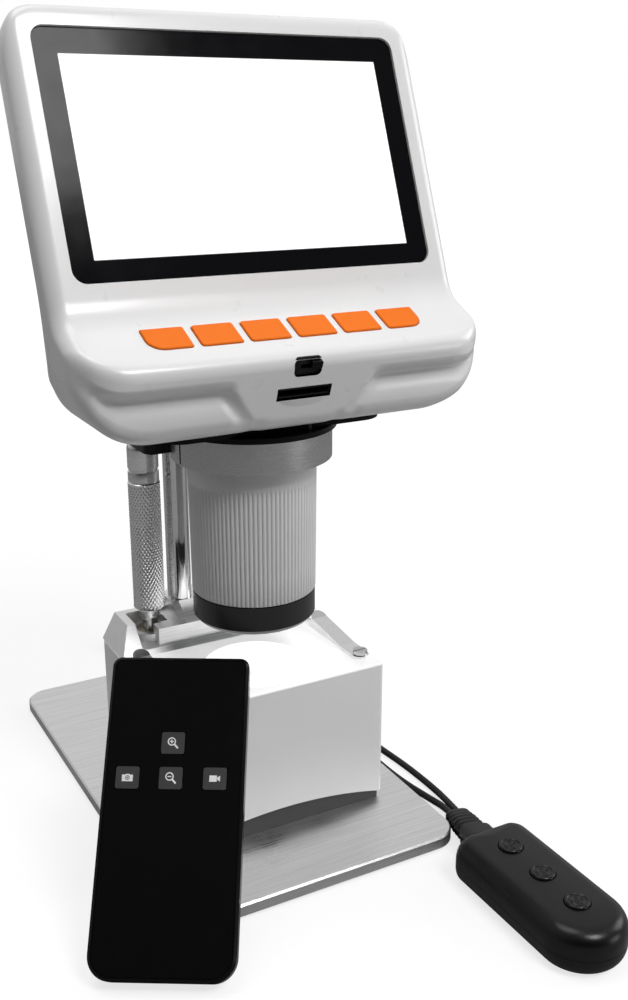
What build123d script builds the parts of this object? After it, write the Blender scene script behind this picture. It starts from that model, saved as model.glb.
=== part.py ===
from build123d import *
import os
from math import atan2, cos, pi, radians, sin, sqrt, tan

os.makedirs("parts", exist_ok=True)

# Digital microscope with a screen head, in millimetres.
# Origin: on the table under the optical axis.  +X right, +Y back, +Z up.

# ---------------------------------------------------------------- base plate
plate_half_width = 47.0
plate_front = -47.3
plate_back = 108.0
plate_top = 4.7
pad_thickness = 1.0
pad_inset = 2.5
plate_corner = 8.0
plate_edge = 0.5

# ---------------------------------------------------------------- light box
box_half_width = 35.7
box_front = -18.9
box_back = 41.0
box_height = 48.1
box_wall = 2.0
box_corner = 1.5
box_edge = 0.6
side_reveal = 2.3
arch_rise = 4.6
plinth_inset = 0.9
plinth_height = 9.5
plinth_wall = 2.4
plinth_floor = 2.0
window_radius = 16.0
window_thickness = 2.4
window_fit = 0.1
window_ledge = 1.4
reflector_wall = 1.6
reflector_depth = 11.0
lamp_board_radius = 16.5
lamp_board_thickness = 1.6
lamp_size = 3.5
lamp_height = 1.9
lamp_circle = 8.0
socket_width = 9.0
socket_depth = 12.0
socket_centre_x = 22.0
socket_centre_z = 20.0
jack_radius = 2.6
jack_depth = 9.5
plug_radius = 4.0
plug_length = 13.0
plug_tip_radius = 2.5
plug_tip_length = 9.0

box_bottom = plate_top
box_top = plate_top + box_height
box_middle_y = (box_front + box_back) / 2
box_length = box_back - box_front

# ---------------------------------------------------------------- stage clips
clip_in_from_box_side = 4.2
clip_pivot_y = -11.0
clip_length = 29.5
clip_width = 5.5
clip_thickness = 0.7
clip_lift = 2.2
clip_rise_start = 8.0
clip_tip_length = 3.0
clip_tip_rise = 1.4
clip_screw_radius = 1.2
clip_head_radius = 2.3
clip_head_height = 1.3
screw_slot_width = 0.5
running_fit = 0.05
seat_fit = 0.1

# ---------------------------------------------------------------- column saddle, rods and lift screw
rod_in_from_handle = 11.2
rod_y = 34.6
rod_radius = 3.9
rod_below_box_top = 36.0
rod_hole_fit = 0.4
saddle_height = 8.2
saddle_rim_half_width = 31.2
saddle_wall = 2.6
saddle_side_front = 21.0
saddle_slope = 8.0
saddle_floor = 1.5
pedestal_below_rim = 1.0
pedestal_inner_half_width = 17.5
pedestal_wing_back = 29.0
nut_boss_wall = 1.4
pedestal_front = 23.5
pedestal_half_width = 22.6
pedestal_step_front = 30.4
pedestal_step_height = 5.3
pedestal_step_half_width = 15.2
cheek_width = 2.4
handle_in_from_box_side = 13.8
handle_y = 33.0
handle_radius = 5.1
handle_cap_radius = 4.85
handle_neck_radius = 3.4
handle_neck_length = 3.6
knurl_length = 42.6
cap_length = 10.8
cap_groove_from_knurl = 3.9
cap_groove_depth = 0.4
cap_groove_width = 1.0
cap_dome_height = 3.2
cap_flat_radius = 2.9
knurl_chamfer = 0.5
clip_ring_recess = 1.6
clip_ring_width = 1.4
clip_ring_thickness = 1.2
screw_radius = 2.4
screw_below_box_top = 34.0
nut_radius = 4.6
nut_height = 2.6

# ---------------------------------------------------------------- barrel and holder
working_gap = 17.5
end_ring_height = 8.9
end_ring_radius = 18.6
end_ring_lip_radius = 17.3
end_ring_round = 1.6
end_ring_floor = 1.3
end_ring_lip = 1.5
focus_length = 41.2
focus_foot_plain = 0.8
focus_radius = 19.1
focus_taper = 0.35
focus_plain_band = 6.6
rib_count = 90
rib_groove_width = 0.6
rib_groove_depth = 0.4
ring_gap = 0.2
core_radius = 16.6
core_bore = 14.2
holder_radius = 23.7
holder_bore = 20.0
holder_height = 9.2
holder_slit = 0.8
flange_radius = 25.0
flange_thickness = 1.55
carriage_half_width = 28.3
carriage_front = 12.0
carriage_back = 41.0
carriage_corner = 3.0
carriage_drop = 0.4
lug_half_width = 5.5
lug_back = 28.0
lug_screw_radius = 1.5
lug_screw_thread = 5.0
lug_screw_grip = 3.0
lug_screw_head_radius = 2.6
lug_screw_head_height = 2.8
slit_y = -2.3
lens_cell_length = 18.0
pin_above_barrel_bottom = 24.0
lens_seat = 5.0
lens_bulge = 1.6
cell_shoulder = 1.0
lens_radius = 10.5
lens_travel = 4.0
drive_pin_radius = 1.5
cover_radius = 13.0
cover_thickness = 1.5
ring_lamp_gap = 1.2
ring_board_thickness = 1.2
ring_lamp_count = 8
ring_lamp_size = 2.4
ring_lamp_height = 1.0

handle_x = handle_in_from_box_side - box_half_width
rod_x = -handle_x - rod_in_from_handle
clip_pivot_x = box_half_width - clip_in_from_box_side
barrel_bottom = box_top + working_gap
focus_bottom = barrel_bottom + end_ring_height + ring_gap
focus_top = focus_bottom + focus_length
holder_bottom = focus_top + 2 * ring_gap
pin_z = barrel_bottom + pin_above_barrel_bottom
holder_top = holder_bottom + holder_height
flange_bottom = holder_top + running_fit
flange_top = flange_bottom + flange_thickness

# ---------------------------------------------------------------- head
head_half_width = 61.0
face_tilt = 21.8
face_centre_y = 2.12
face_centre_above_floor = 70.85
slab_top = 40.5
slab_front = 0.8
slab_back = -12.0
slab_corner = 10.0
slab_front_round = 4.0
slab_back_round = 4.5
slab_front_wall = 4.0
strip_height = 7.0
seam_y = -9.0
beak_back = -23.4
outline_overlap = 0.3
plan_front = -37.2
plan_bow = 3.0
front_part_back = 10.0
rear_half_width = 60.5
shoulder_half_width = 38.0
head_screw_circle_radius = 20.5
head_screw_angle = 25.0
head_screw_radius = 1.2
head_screw_head_radius = 2.1
head_screw_head_height = 1.2
seam_depth = -5.0
shell_wall = 2.2
crease_b = -43.0
shelf_slope = 25.0
lip_front = -36.4
lip_height = 13.4
lip_round = 2.4
apron_foot_y = -29.0
apron_lift = 0.6
lobe_front = -31.0
lobe_height = 8.0
lobe_foot_y = -26.5
lobe_top_y = -28.4
lobe_rise = 5.0
lobe_round = 3.0
belly_back = 27.0
belly_round = 6.0
belly_top_b = 20.0
belly_top = 211.0
floor_corner = 20.0
plan_corner = 16.0
waist_y = -3.0
waist_back_y = 9.0
waist_half_width = 47.0
waist_corner = 9.0
lip_corner_rise = 12.0
apron_half_width = 12.0
apron_flare = 10.5
apron_flare_round = 9.0
apron_foot_round = 5.0
neck_half_width = 35.0
neck_front = -19.0
neck_back = 24.0
neck_corner = 8.0
neck_thickness = 3.0
glass_width = 107.3
glass_height = 67.0
glass_thickness = 1.2
glass_corner = 3.6
glass_centre_b = 0.1
glass_fit = 0.2
view_width = 98.0
view_height = 57.0
lcd_width = 105.5
lcd_height = 67.2
lcd_thickness = 2.9
board_width = 96.0
board_height = 62.0
board_thickness = 1.6
layer_gap = 0.3
chip_size = 14.0
chip_height = 1.2
sensor_board_size = 32.0
sensor_size = 10.0
sensor_height = 1.4

neck_bottom = flange_top
head_floor = neck_bottom + neck_thickness
face_centre_z = head_floor + face_centre_above_floor

# ---------------------------------------------------------------- keys, switch and card slot in the head
key_count = 6
key_pitch = 13.93
key_width = 11.7
key_depth = 9.0
key_centre_down = 10.65
key_corner = 0.9
key_end_round = 4.4
key_proud = 0.5
key_travel = 0.6
key_fit = 0.2
key_flange = 0.8
key_flange_thickness = 1.0
key_board_width = 89.0
key_board_depth = 10.0
key_board_thickness = 1.2
dome_radius = 2.2
dome_height = 0.4
dome_gap = 0.05
key_edge = 0.25
key_post_x = 43.5
key_post_width = 1.6
switch_width = 8.2
switch_height = 5.2
switch_corner = 1.2
switch_centre_up = 18.2
switch_recess = 0.8
knob_width = 3.2
knob_height = 2.2
knob_proud = 0.6
knob_travel = 3.0
knob_x = 2.2
knob_up = 0.6
knob_fit = 0.1
knob_stem_width = 2.0
knob_stem_height = 1.0
knob_stem_reach = 1.0
knob_stem_drop = 0.8
switch_body_width = 9.0
switch_body_height = 4.2
switch_body_thickness = 2.8
switch_body_drop = 2.2
slot_width = 16.3
slot_height = 3.0
slot_centre_up = 10.9
notch_radius = 6.5
notch_depth = 0.9
notch_drop = 4.2
card_socket_depth = 15.0
card_socket_wall = 0.5
card_mouth_depth = 0.5

# ---------------------------------------------------------------- handheld remote
remote_width = 39.0
remote_length = 86.0
remote_thickness = 6.5
remote_foot_out_from_box_side = 23.9
remote_foot_before_box = 45.78
remote_yaw = -30.35
remote_lean = 42.0
remote_top_corner = 2.6
remote_foot_corner = 6.5
remote_edge = 0.8
remote_wall = 1.2
remote_panel_thickness = 1.0
remote_key_width = 6.4
remote_key_height = 6.0
remote_key_proud = 0.3
remote_key_travel = 0.4
remote_key_fit = 0.15
remote_key_flange = 0.6
remote_key_flange_thickness = 0.8
remote_key_well = 1.8

# ---------------------------------------------------------------- wired controller
unit_centre_x = 46.8
unit_back = -59.5
unit_length = 55.5
unit_half_width = 12.8
unit_height = 14.0
unit_back_round = 6.0
unit_top_round = 4.5
unit_foot_round = 2.5
unit_wall = 1.6
unit_split = 6.0
unit_key_radius = 3.6
unit_key_pitch = 14.4
unit_key_first = 12.0
unit_key_proud = 0.6
unit_key_travel = 0.5
unit_key_fit = 0.15
unit_key_flange = 0.8
unit_key_stem = 2.0
unit_ceiling_step = 1.4
unit_post_radius = 2.0
relief_height = 7.0
relief_neck_radius = 3.2
relief_turn = 14.0
relief_dip = 10.0
relief_length = 23.0
relief_steps = ((-3.0, 8.5, 4.6, 4.2), (8.5, 16.0, 3.6, 3.3), (16.0, 23.0, 2.9, 2.5))
cord_radius = 1.1
cord_spacing = 2.3
coil_mid_radius = 12.7
coil_half_width = 4.5
coil_height = 6.8
coil_stub = 17.5
coil_run_in = 12.0
usb_plug_width = 15.0
usb_plug_height = 7.8
usb_plug_length = 22.0
usb_shell_width = 12.0
usb_shell_height = 4.5
usb_shell_length = 12.0
coil_centre = (46.0, 128.0)


def save(part, name):
    """Label a finished piece and write it as the STEP file of that name."""
    part.label = name
    export_step(part, f"parts/{name}.step")


def face_point(b, c):
    """(Y, Z) of a point b up the screen face and c out of it."""
    tilt = radians(face_tilt)
    y = face_centre_y + b * sin(tilt) - c * cos(tilt)
    z = face_centre_z + b * cos(tilt) + c * sin(tilt)
    return (y, z)


face = Plane(
    origin=(0, face_centre_y, face_centre_z),
    x_dir=(1, 0, 0),
    z_dir=(0, -cos(radians(face_tilt)), sin(radians(face_tilt))),
)
crease_y, crease_z = face_point(crease_b, slab_front)
shelf = Plane(
    origin=(0, crease_y, crease_z),
    x_dir=(1, 0, 0),
    z_dir=(0, -sin(radians(shelf_slope)), cos(radians(shelf_slope))),
)
lip_top = crease_z - (crease_y - lip_front) * tan(radians(shelf_slope))


# ================================================================ stand
with BuildPart() as base_pad:
    with BuildSketch():
        with Locations((0, (plate_front + plate_back) / 2)):
            RectangleRounded(
                2 * (plate_half_width - pad_inset),
                plate_back - plate_front - 2 * pad_inset,
                plate_corner - pad_inset,
            )
    extrude(amount=pad_thickness)
save(base_pad.part, "base_pad")


with BuildPart() as base_plate:
    with BuildSketch(Plane.XY.offset(pad_thickness)):
        with Locations((0, (plate_front + plate_back) / 2)):
            RectangleRounded(2 * plate_half_width, plate_back - plate_front, plate_corner)
    extrude(amount=plate_top - pad_thickness)
    chamfer(base_plate.edges().group_by(Axis.Z)[-1], plate_edge)
save(base_plate.part, "base_plate")


plinth_half_width = box_half_width - plinth_inset
plinth_length = box_length - 2 * plinth_inset
with BuildPart() as light_box_plinth:
    with BuildSketch(Plane.XY.offset(box_bottom)):
        with Locations((0, box_middle_y)):
            RectangleRounded(2 * plinth_half_width, plinth_length, box_corner - plinth_inset / 2)
    extrude(amount=plinth_height)
    with BuildSketch(Plane.XY.offset(box_bottom + plinth_floor)):
        with Locations((0, box_middle_y)):
            Rectangle(
                2 * (plinth_half_width - plinth_wall),
                plinth_length - 2 * plinth_wall,
            )
    extrude(amount=plinth_height, mode=Mode.SUBTRACT)
save(light_box_plinth.part, "light_box_plinth")


shell_bottom = box_bottom + side_reveal
plinth_top = box_bottom + plinth_height
window_floor = box_top - window_thickness
with BuildPart() as light_box_shell:
    with BuildSketch(Plane.XY.offset(shell_bottom)):
        with Locations((0, box_middle_y)):
            RectangleRounded(2 * box_half_width, box_length, box_corner)
    extrude(amount=box_top - shell_bottom)
    chamfer(light_box_shell.edges().group_by(Axis.Z)[-1], box_edge)
    with BuildSketch(Plane.XY.offset(shell_bottom)):
        with Locations((0, box_middle_y)):
            Rectangle(2 * (box_half_width - box_wall), box_length - 2 * box_wall)
    extrude(amount=box_top - box_wall - shell_bottom, mode=Mode.SUBTRACT)
    # rebate that seats the shell on its plinth
    with BuildSketch(Plane.XY.offset(shell_bottom)):
        with Locations((0, box_middle_y)):
            RectangleRounded(
                2 * (plinth_half_width + window_fit),
                plinth_length + 2 * window_fit,
                box_corner - plinth_inset / 2,
            )
    extrude(amount=plinth_top - shell_bottom, mode=Mode.SUBTRACT)
    # arched lower edge of the front wall
    with BuildSketch(Plane.XZ.offset(-box_front - box_wall - 1)):
        with BuildLine():
            ThreePointArc(
                (-box_half_width, shell_bottom),
                (0, shell_bottom + arch_rise),
                (box_half_width, shell_bottom),
            )
            Line((box_half_width, shell_bottom), (-box_half_width, shell_bottom))
        make_face()
    extrude(amount=box_wall + 2, mode=Mode.SUBTRACT)
    # reflector tube under the stage window
    with BuildSketch(Plane.XY.offset(box_top - reflector_depth)):
        Circle(window_radius + window_fit + reflector_wall)
    extrude(amount=reflector_depth - 0.5 * box_wall)
    with BuildSketch(Plane.XY.offset(box_top - reflector_depth)):
        Circle(window_radius - window_ledge)
    extrude(amount=reflector_depth, mode=Mode.SUBTRACT)
    with BuildSketch(Plane.XY.offset(window_floor)):
        Circle(window_radius + window_fit)
    extrude(amount=window_thickness, mode=Mode.SUBTRACT)
    # openings for the guide rods, the lift screw, the clip screws and the socket
    with BuildSketch(Plane.XY.offset(box_top)):
        with Locations((-rod_x, rod_y), (rod_x, rod_y)):
            Circle(rod_radius + rod_hole_fit)
        with Locations((handle_x, handle_y)):
            Circle(screw_radius + rod_hole_fit)
        with Locations((-clip_pivot_x, clip_pivot_y), (clip_pivot_x, clip_pivot_y)):
            Circle(clip_screw_radius)
    extrude(amount=-box_wall - 1, mode=Mode.SUBTRACT)
    with BuildSketch(Plane.XZ.offset(-box_back - 1)):
        with Locations((socket_centre_x, socket_centre_z)):
            Rectangle(socket_width + 2 * window_fit, socket_width + 2 * window_fit)
    extrude(amount=box_wall + 2, mode=Mode.SUBTRACT)
save(light_box_shell.part, "light_box_shell")


with BuildPart() as stage_window:
    with BuildSketch(Plane.XY.offset(window_floor)):
        Circle(window_radius)
    extrude(amount=window_thickness)
save(stage_window.part, "stage_window")


with BuildPart() as light_board:
    with BuildSketch(Plane.XY.offset(box_top - reflector_depth)):
        Circle(lamp_board_radius)
    extrude(amount=-lamp_board_thickness)
    with BuildSketch(Plane.XY.offset(box_top - reflector_depth)):
        with PolarLocations(lamp_circle, 6):
            Rectangle(lamp_size, lamp_size)
        Rectangle(lamp_size, lamp_size)
    extrude(amount=lamp_height)
save(light_board.part, "light_board")


with BuildPart() as power_socket:
    with BuildSketch(Plane.XZ.offset(-box_back)):
        with Locations((socket_centre_x, socket_centre_z)):
            Rectangle(socket_width, socket_width)
    extrude(amount=socket_depth)
    with BuildSketch(Plane.XZ.offset(-box_back)):
        with Locations((socket_centre_x, socket_centre_z)):
            Circle(jack_radius)
    extrude(amount=jack_depth, mode=Mode.SUBTRACT)
save(power_socket.part, "power_socket")


# ================================================================ stage clips
leaf_top = box_top + running_fit + clip_thickness


def clip_side(side):
    """One spring clip: a leaf that rises to a turned-up tip, on its pivot hole."""
    bottom = box_top + running_fit
    run = clip_length - clip_tip_length
    with BuildPart() as leaf:
        with BuildSketch(Plane.YZ.offset(side * clip_pivot_x - clip_width / 2)):
            with BuildLine():
                Polyline(
                    (clip_pivot_y - clip_width / 2, bottom),
                    (clip_pivot_y + clip_rise_start, bottom),
                    (clip_pivot_y + run, bottom + clip_lift),
                    (clip_pivot_y + clip_length, bottom + clip_lift + clip_tip_rise),
                    (clip_pivot_y + clip_length, bottom + clip_lift + clip_tip_rise + clip_thickness),
                    (clip_pivot_y + run, bottom + clip_lift + clip_thickness),
                    (clip_pivot_y + clip_rise_start, bottom + clip_thickness),
                    (clip_pivot_y - clip_width / 2, bottom + clip_thickness),
                    close=True,
                )
            make_face()
        extrude(amount=clip_width)
        with BuildSketch(Plane.XY.offset(box_top)):
            with Locations((side * clip_pivot_x, clip_pivot_y + clip_length / 2 - clip_width / 4)):
                SlotOverall(clip_length + clip_width / 2, clip_width, rotation=90)
        extrude(amount=clip_lift + clip_tip_rise + 4 * clip_thickness, mode=Mode.INTERSECT)
        with BuildSketch(Plane.XY.offset(box_top)):
            with Locations((side * clip_pivot_x, clip_pivot_y)):
                Circle(clip_screw_radius + running_fit)
        extrude(amount=2 * clip_thickness, mode=Mode.SUBTRACT)
    return leaf.part


save(clip_side(-1), "stage_clip_left")
save(clip_side(1), "stage_clip_right")


with BuildPart() as stage_clip_screws:
    with BuildSketch(Plane.XY.offset(leaf_top + running_fit)):
        with Locations((-clip_pivot_x, clip_pivot_y), (clip_pivot_x, clip_pivot_y)):
            Circle(clip_head_radius)
    extrude(amount=clip_head_height)
    with BuildSketch(Plane.XY.offset(leaf_top + running_fit)):
        with Locations((-clip_pivot_x, clip_pivot_y), (clip_pivot_x, clip_pivot_y)):
            Circle(clip_screw_radius)
    extrude(amount=-box_wall - clip_thickness)
    with BuildSketch(Plane.XY.offset(leaf_top + running_fit + clip_head_height)):
        with Locations((-clip_pivot_x, clip_pivot_y), (clip_pivot_x, clip_pivot_y)):
            Rectangle(2 * clip_head_radius, screw_slot_width)
    extrude(amount=-screw_slot_width, mode=Mode.SUBTRACT)
save(stage_clip_screws.part, "stage_clip_screws")


# ================================================================ column saddle and lift
saddle_rim = box_top + saddle_height
pedestal_top = saddle_rim - pedestal_below_rim
step_top = pedestal_top + pedestal_step_height
with BuildPart() as column_saddle:
    with BuildSketch(Plane.XZ.offset(-box_back)):
        with BuildLine():
            Polyline(
                (-box_half_width, box_top),
                (box_half_width, box_top),
                (saddle_rim_half_width, saddle_rim),
                (-saddle_rim_half_width, saddle_rim),
                close=True,
            )
        make_face()
    extrude(amount=box_back - saddle_side_front)
    with BuildSketch(Plane.YZ.offset(-box_half_width)):
        with BuildLine():
            Polyline(
                (saddle_side_front, box_top),
                (box_back, box_top),
                (box_back, saddle_rim),
                (saddle_side_front + saddle_slope, saddle_rim),
                close=True,
            )
        make_face()
    extrude(amount=2 * box_half_width, mode=Mode.INTERSECT)
    with BuildSketch(Plane.XY.offset(box_top + saddle_floor)):
        with Locations((0, (saddle_side_front + box_back - saddle_wall) / 2)):
            Rectangle(
                2 * (saddle_rim_half_width - saddle_wall),
                box_back - saddle_wall - saddle_side_front,
            )
    extrude(amount=saddle_height, mode=Mode.SUBTRACT)
    # pedestal that carries the guide rods
    with BuildSketch(Plane.XY.offset(box_top)):
        with Locations((0, (pedestal_front + box_back) / 2)):
            Rectangle(2 * pedestal_inner_half_width, box_back - pedestal_front)
        with Locations((0, (pedestal_front + pedestal_wing_back) / 2)):
            Rectangle(2 * pedestal_half_width, pedestal_wing_back - pedestal_front)
    extrude(amount=pedestal_top - box_top)
    with BuildSketch(Plane.XY.offset(pedestal_top)):
        with Locations((0, (pedestal_step_front + box_back) / 2)):
            Rectangle(2 * pedestal_step_half_width, box_back - pedestal_step_front)
    extrude(amount=pedestal_step_height)
    for cheek_x in (-pedestal_step_half_width, pedestal_step_half_width - cheek_width):
        with BuildSketch(Plane.YZ.offset(cheek_x)):
            with BuildLine():
                Polyline(
                    (pedestal_front, pedestal_top),
                    (pedestal_step_front, pedestal_top),
                    (pedestal_step_front, step_top),
                    close=True,
                )
            make_face()
        extrude(amount=cheek_width)
    # boss of the lift nut
    with BuildSketch(Plane.XY.offset(box_top)):
        with Locations((handle_x, handle_y)):
            Circle(nut_radius + nut_boss_wall)
    extrude(amount=saddle_floor + nut_height)
    with BuildSketch(Plane.XY.offset(box_top + saddle_floor)):
        with Locations((handle_x, handle_y)):
            Circle(nut_radius)
    extrude(amount=saddle_height, mode=Mode.SUBTRACT)
    with BuildSketch(Plane.XY.offset(box_top)):
        with Locations((-rod_x, rod_y), (rod_x, rod_y)):
            Circle(rod_radius + running_fit)
        with Locations((handle_x, handle_y)):
            Circle(screw_radius + rod_hole_fit)
    extrude(amount=step_top - box_top, mode=Mode.SUBTRACT)
save(column_saddle.part, "column_saddle")


with BuildPart() as lift_nut:
    with BuildSketch(Plane.XY.offset(box_top + saddle_floor)):
        with Locations((handle_x, handle_y)):
            Circle(nut_radius)
            Circle(screw_radius + running_fit, mode=Mode.SUBTRACT)
    extrude(amount=nut_height)
save(lift_nut.part, "lift_nut")


with BuildPart() as guide_rods:
    with BuildSketch(Plane.XY.offset(box_top - rod_below_box_top)):
        with Locations((-rod_x, rod_y), (rod_x, rod_y)):
            Circle(rod_radius)
    extrude(amount=holder_top - carriage_drop - (box_top - rod_below_box_top))
save(guide_rods.part, "guide_rods")


handle_top = holder_bottom - running_fit
knurl_bottom = handle_top - cap_dome_height - cap_length - knurl_length
handle_axis = Plane(origin=(handle_x, handle_y, 0), x_dir=(1, 0, 0), z_dir=(0, -1, 0))
with BuildPart() as lift_handle:
    cap_bottom = knurl_bottom + knurl_length
    cap_top = cap_bottom + cap_length
    groove_z = cap_bottom + cap_groove_from_knurl
    with BuildSketch(handle_axis):
        with BuildLine():
            Polyline(
                (screw_radius, knurl_bottom - handle_neck_length),
                (handle_neck_radius, knurl_bottom - handle_neck_length),
                (handle_neck_radius, knurl_bottom),
                (handle_radius - knurl_chamfer, knurl_bottom),
                (handle_radius, knurl_bottom + knurl_chamfer),
                (handle_radius, cap_bottom - knurl_chamfer),
                (handle_cap_radius, cap_bottom),
                (handle_cap_radius, groove_z),
                (handle_cap_radius - cap_groove_depth, groove_z + cap_groove_width / 2),
                (handle_cap_radius, groove_z + cap_groove_width),
                (handle_cap_radius, cap_top),
            )
            ThreePointArc(
                (handle_cap_radius, cap_top),
                (0.86 * handle_cap_radius, cap_top + 0.6 * cap_dome_height),
                (cap_flat_radius, handle_top),
            )
            Polyline(
                (cap_flat_radius, handle_top),
                (screw_radius, handle_top),
                (screw_radius, knurl_bottom - handle_neck_length),
            )
        make_face()
    revolve(axis=Axis((handle_x, handle_y, 0), (0, 0, 1)))
save(lift_handle.part, "lift_handle")


clip_ring_bottom = holder_top - carriage_drop - clip_ring_recess + running_fit
with BuildPart() as lift_screw:
    with BuildSketch(Plane.XY.offset(box_top - screw_below_box_top)):
        with Locations((handle_x, handle_y)):
            Circle(screw_radius)
    extrude(amount=clip_ring_bottom - (box_top - screw_below_box_top))
    with BuildSketch(Plane.XY.offset(clip_ring_bottom)):
        with Locations((handle_x, handle_y)):
            Circle(screw_radius + clip_ring_width)
    extrude(amount=clip_ring_thickness)
    chamfer(lift_screw.edges().group_by(Axis.Z)[0], screw_radius / 4)
save(lift_screw.part, "lift_screw")


# ================================================================ carriage and holder ring
carriage_top = holder_top - carriage_drop
with BuildPart() as carriage_block:
    with BuildSketch(Plane.XY.offset(holder_bottom)):
        with Locations((0, (carriage_front + carriage_back) / 2)):
            RectangleRounded(
                2 * carriage_half_width,
                carriage_back - carriage_front,
                carriage_corner,
            )
    extrude(amount=carriage_top - holder_bottom)
    chamfer(carriage_block.edges().group_by(Axis.Z)[-1], plate_edge)
    with BuildSketch(Plane.XY.offset(holder_bottom)):
        Circle(holder_radius + seat_fit)
        with Locations((0, holder_radius)):
            Rectangle(2 * (lug_half_width + seat_fit), 2 * (lug_back - holder_radius))
        with Locations((-rod_x, rod_y), (rod_x, rod_y)):
            Circle(rod_radius)
        with Locations((handle_x, handle_y)):
            Circle(screw_radius + running_fit)
    extrude(amount=holder_height, mode=Mode.SUBTRACT)
    with BuildSketch(Plane.XY.offset(carriage_top)):
        with Locations((handle_x, handle_y)):
            Circle(screw_radius + clip_ring_width + seat_fit)
    extrude(amount=-clip_ring_recess, mode=Mode.SUBTRACT)
    # counterbored screw into the lug of the holder ring
    with BuildSketch(Plane.XZ.offset(-carriage_back)):
        with Locations((0, (holder_bottom + carriage_top) / 2)):
            Circle(lug_screw_head_radius + seat_fit)
    extrude(amount=carriage_back - lug_back - lug_screw_grip, mode=Mode.SUBTRACT)
    with BuildSketch(Plane.XZ.offset(-carriage_back)):
        with Locations((0, (holder_bottom + carriage_top) / 2)):
            Circle(lug_screw_radius)
    extrude(amount=carriage_back - lug_back, mode=Mode.SUBTRACT)
save(carriage_block.part, "carriage_block")


with BuildPart() as holder_ring:
    with BuildSketch(Plane.XY.offset(holder_bottom)):
        Circle(holder_radius)
        with Locations((0, (lug_back + core_radius) / 2)):
            Rectangle(2 * lug_half_width, lug_back - core_radius)
        Circle(holder_bore, mode=Mode.SUBTRACT)
        with Locations((-holder_radius, slit_y)):
            Rectangle(2 * (holder_radius - holder_bore) + 4, holder_slit, mode=Mode.SUBTRACT)
    extrude(amount=holder_height)
    with BuildSketch(Plane.XZ.offset(-lug_back)):
        with Locations((0, (holder_bottom + carriage_top) / 2)):
            Circle(lug_screw_radius)
    extrude(amount=lug_screw_thread, mode=Mode.SUBTRACT)
save(holder_ring.part, "holder_ring")


with BuildPart() as holder_screw:
    with BuildSketch(Plane.XZ.offset(-lug_back + lug_screw_thread)):
        with Locations((0, (holder_bottom + carriage_top) / 2)):
            Circle(lug_screw_radius)
    extrude(amount=-lug_screw_thread - lug_screw_grip)
    with BuildSketch(Plane.XZ.offset(-lug_back - lug_screw_grip)):
        with Locations((0, (holder_bottom + carriage_top) / 2)):
            Circle(lug_screw_head_radius)
    extrude(amount=-lug_screw_head_height)
    with BuildSketch(Plane.XZ.offset(-lug_back - lug_screw_grip - lug_screw_head_height)):
        with Locations((0, (holder_bottom + carriage_top) / 2)):
            RegularPolygon(lug_screw_radius, 6)
    extrude(amount=lug_screw_head_height / 2, mode=Mode.SUBTRACT)
save(holder_screw.part, "holder_screw")


# ================================================================ barrel
core_bottom = barrel_bottom + end_ring_floor + cover_thickness + ring_lamp_gap + ring_board_thickness
cover_bottom = barrel_bottom + end_ring_floor
board_bottom = cover_bottom + cover_thickness + ring_lamp_gap
upright = Plane.XZ
with BuildPart() as end_ring:
    top = barrel_bottom + end_ring_height
    with BuildSketch(upright):
        with BuildLine():
            Polyline(
                (cover_radius + end_ring_lip, barrel_bottom),
                (end_ring_lip_radius, barrel_bottom),
                (end_ring_radius, barrel_bottom + end_ring_round),
                (end_ring_radius, top),
                (core_radius, top),
                (core_radius, cover_bottom),
                (cover_radius + end_ring_lip, cover_bottom),
                close=True,
            )
        make_face()
    revolve(axis=Axis.Z)
    rounded = end_ring.edges().filter_by(GeomType.CIRCLE).filter_by(
        lambda e: abs(e.radius - end_ring_lip_radius) < 0.01 or abs(e.radius - end_ring_radius) < 0.01
    )
    fillet(rounded.group_by(Axis.Z)[0], end_ring_round)
save(end_ring.part, "end_ring")


with BuildPart() as front_cover:
    with BuildSketch(Plane.XY.offset(cover_bottom)):
        Circle(core_radius - seat_fit)
    extrude(amount=cover_thickness)
save(front_cover.part, "front_cover")


with BuildPart() as ring_light_board:
    with BuildSketch(Plane.XY.offset(board_bottom)):
        Circle(core_radius - seat_fit)
        Circle(lens_radius, mode=Mode.SUBTRACT)
    extrude(amount=ring_board_thickness)
    with BuildSketch(Plane.XY.offset(board_bottom)):
        with PolarLocations((core_radius + lens_radius) / 2, ring_lamp_count):
            Rectangle(ring_lamp_size, ring_lamp_size)
    extrude(amount=-ring_lamp_height)
save(ring_light_board.part, "ring_light_board")


with BuildPart() as barrel_core:
    with BuildSketch(upright):
        with BuildLine():
            Polyline(
                (core_bore, core_bottom),
                (core_radius, core_bottom),
                (core_radius, holder_bottom),
                (holder_bore - running_fit, holder_bottom),
                (holder_bore - running_fit, flange_bottom),
                (flange_radius, flange_bottom),
                (flange_radius, flange_top),
                (core_bore, flange_top),
                close=True,
            )
        make_face()
    revolve(axis=Axis.Z)
    # straight guide slot of the lens cell's drive pin
    with BuildSketch(Plane.YZ):
        with Locations((0, pin_z)):
            SlotOverall(
                2 * (lens_travel + drive_pin_radius + seat_fit),
                2 * (drive_pin_radius + running_fit),
                rotation=90,
            )
    extrude(amount=core_radius + 1, mode=Mode.SUBTRACT)
    with BuildSketch(Plane.XY.offset(flange_top)):
        with PolarLocations(head_screw_circle_radius, 4, start_angle=head_screw_angle):
            Circle(head_screw_radius)
    extrude(amount=-flange_thickness, mode=Mode.SUBTRACT)
save(barrel_core.part, "barrel_core")


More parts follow.
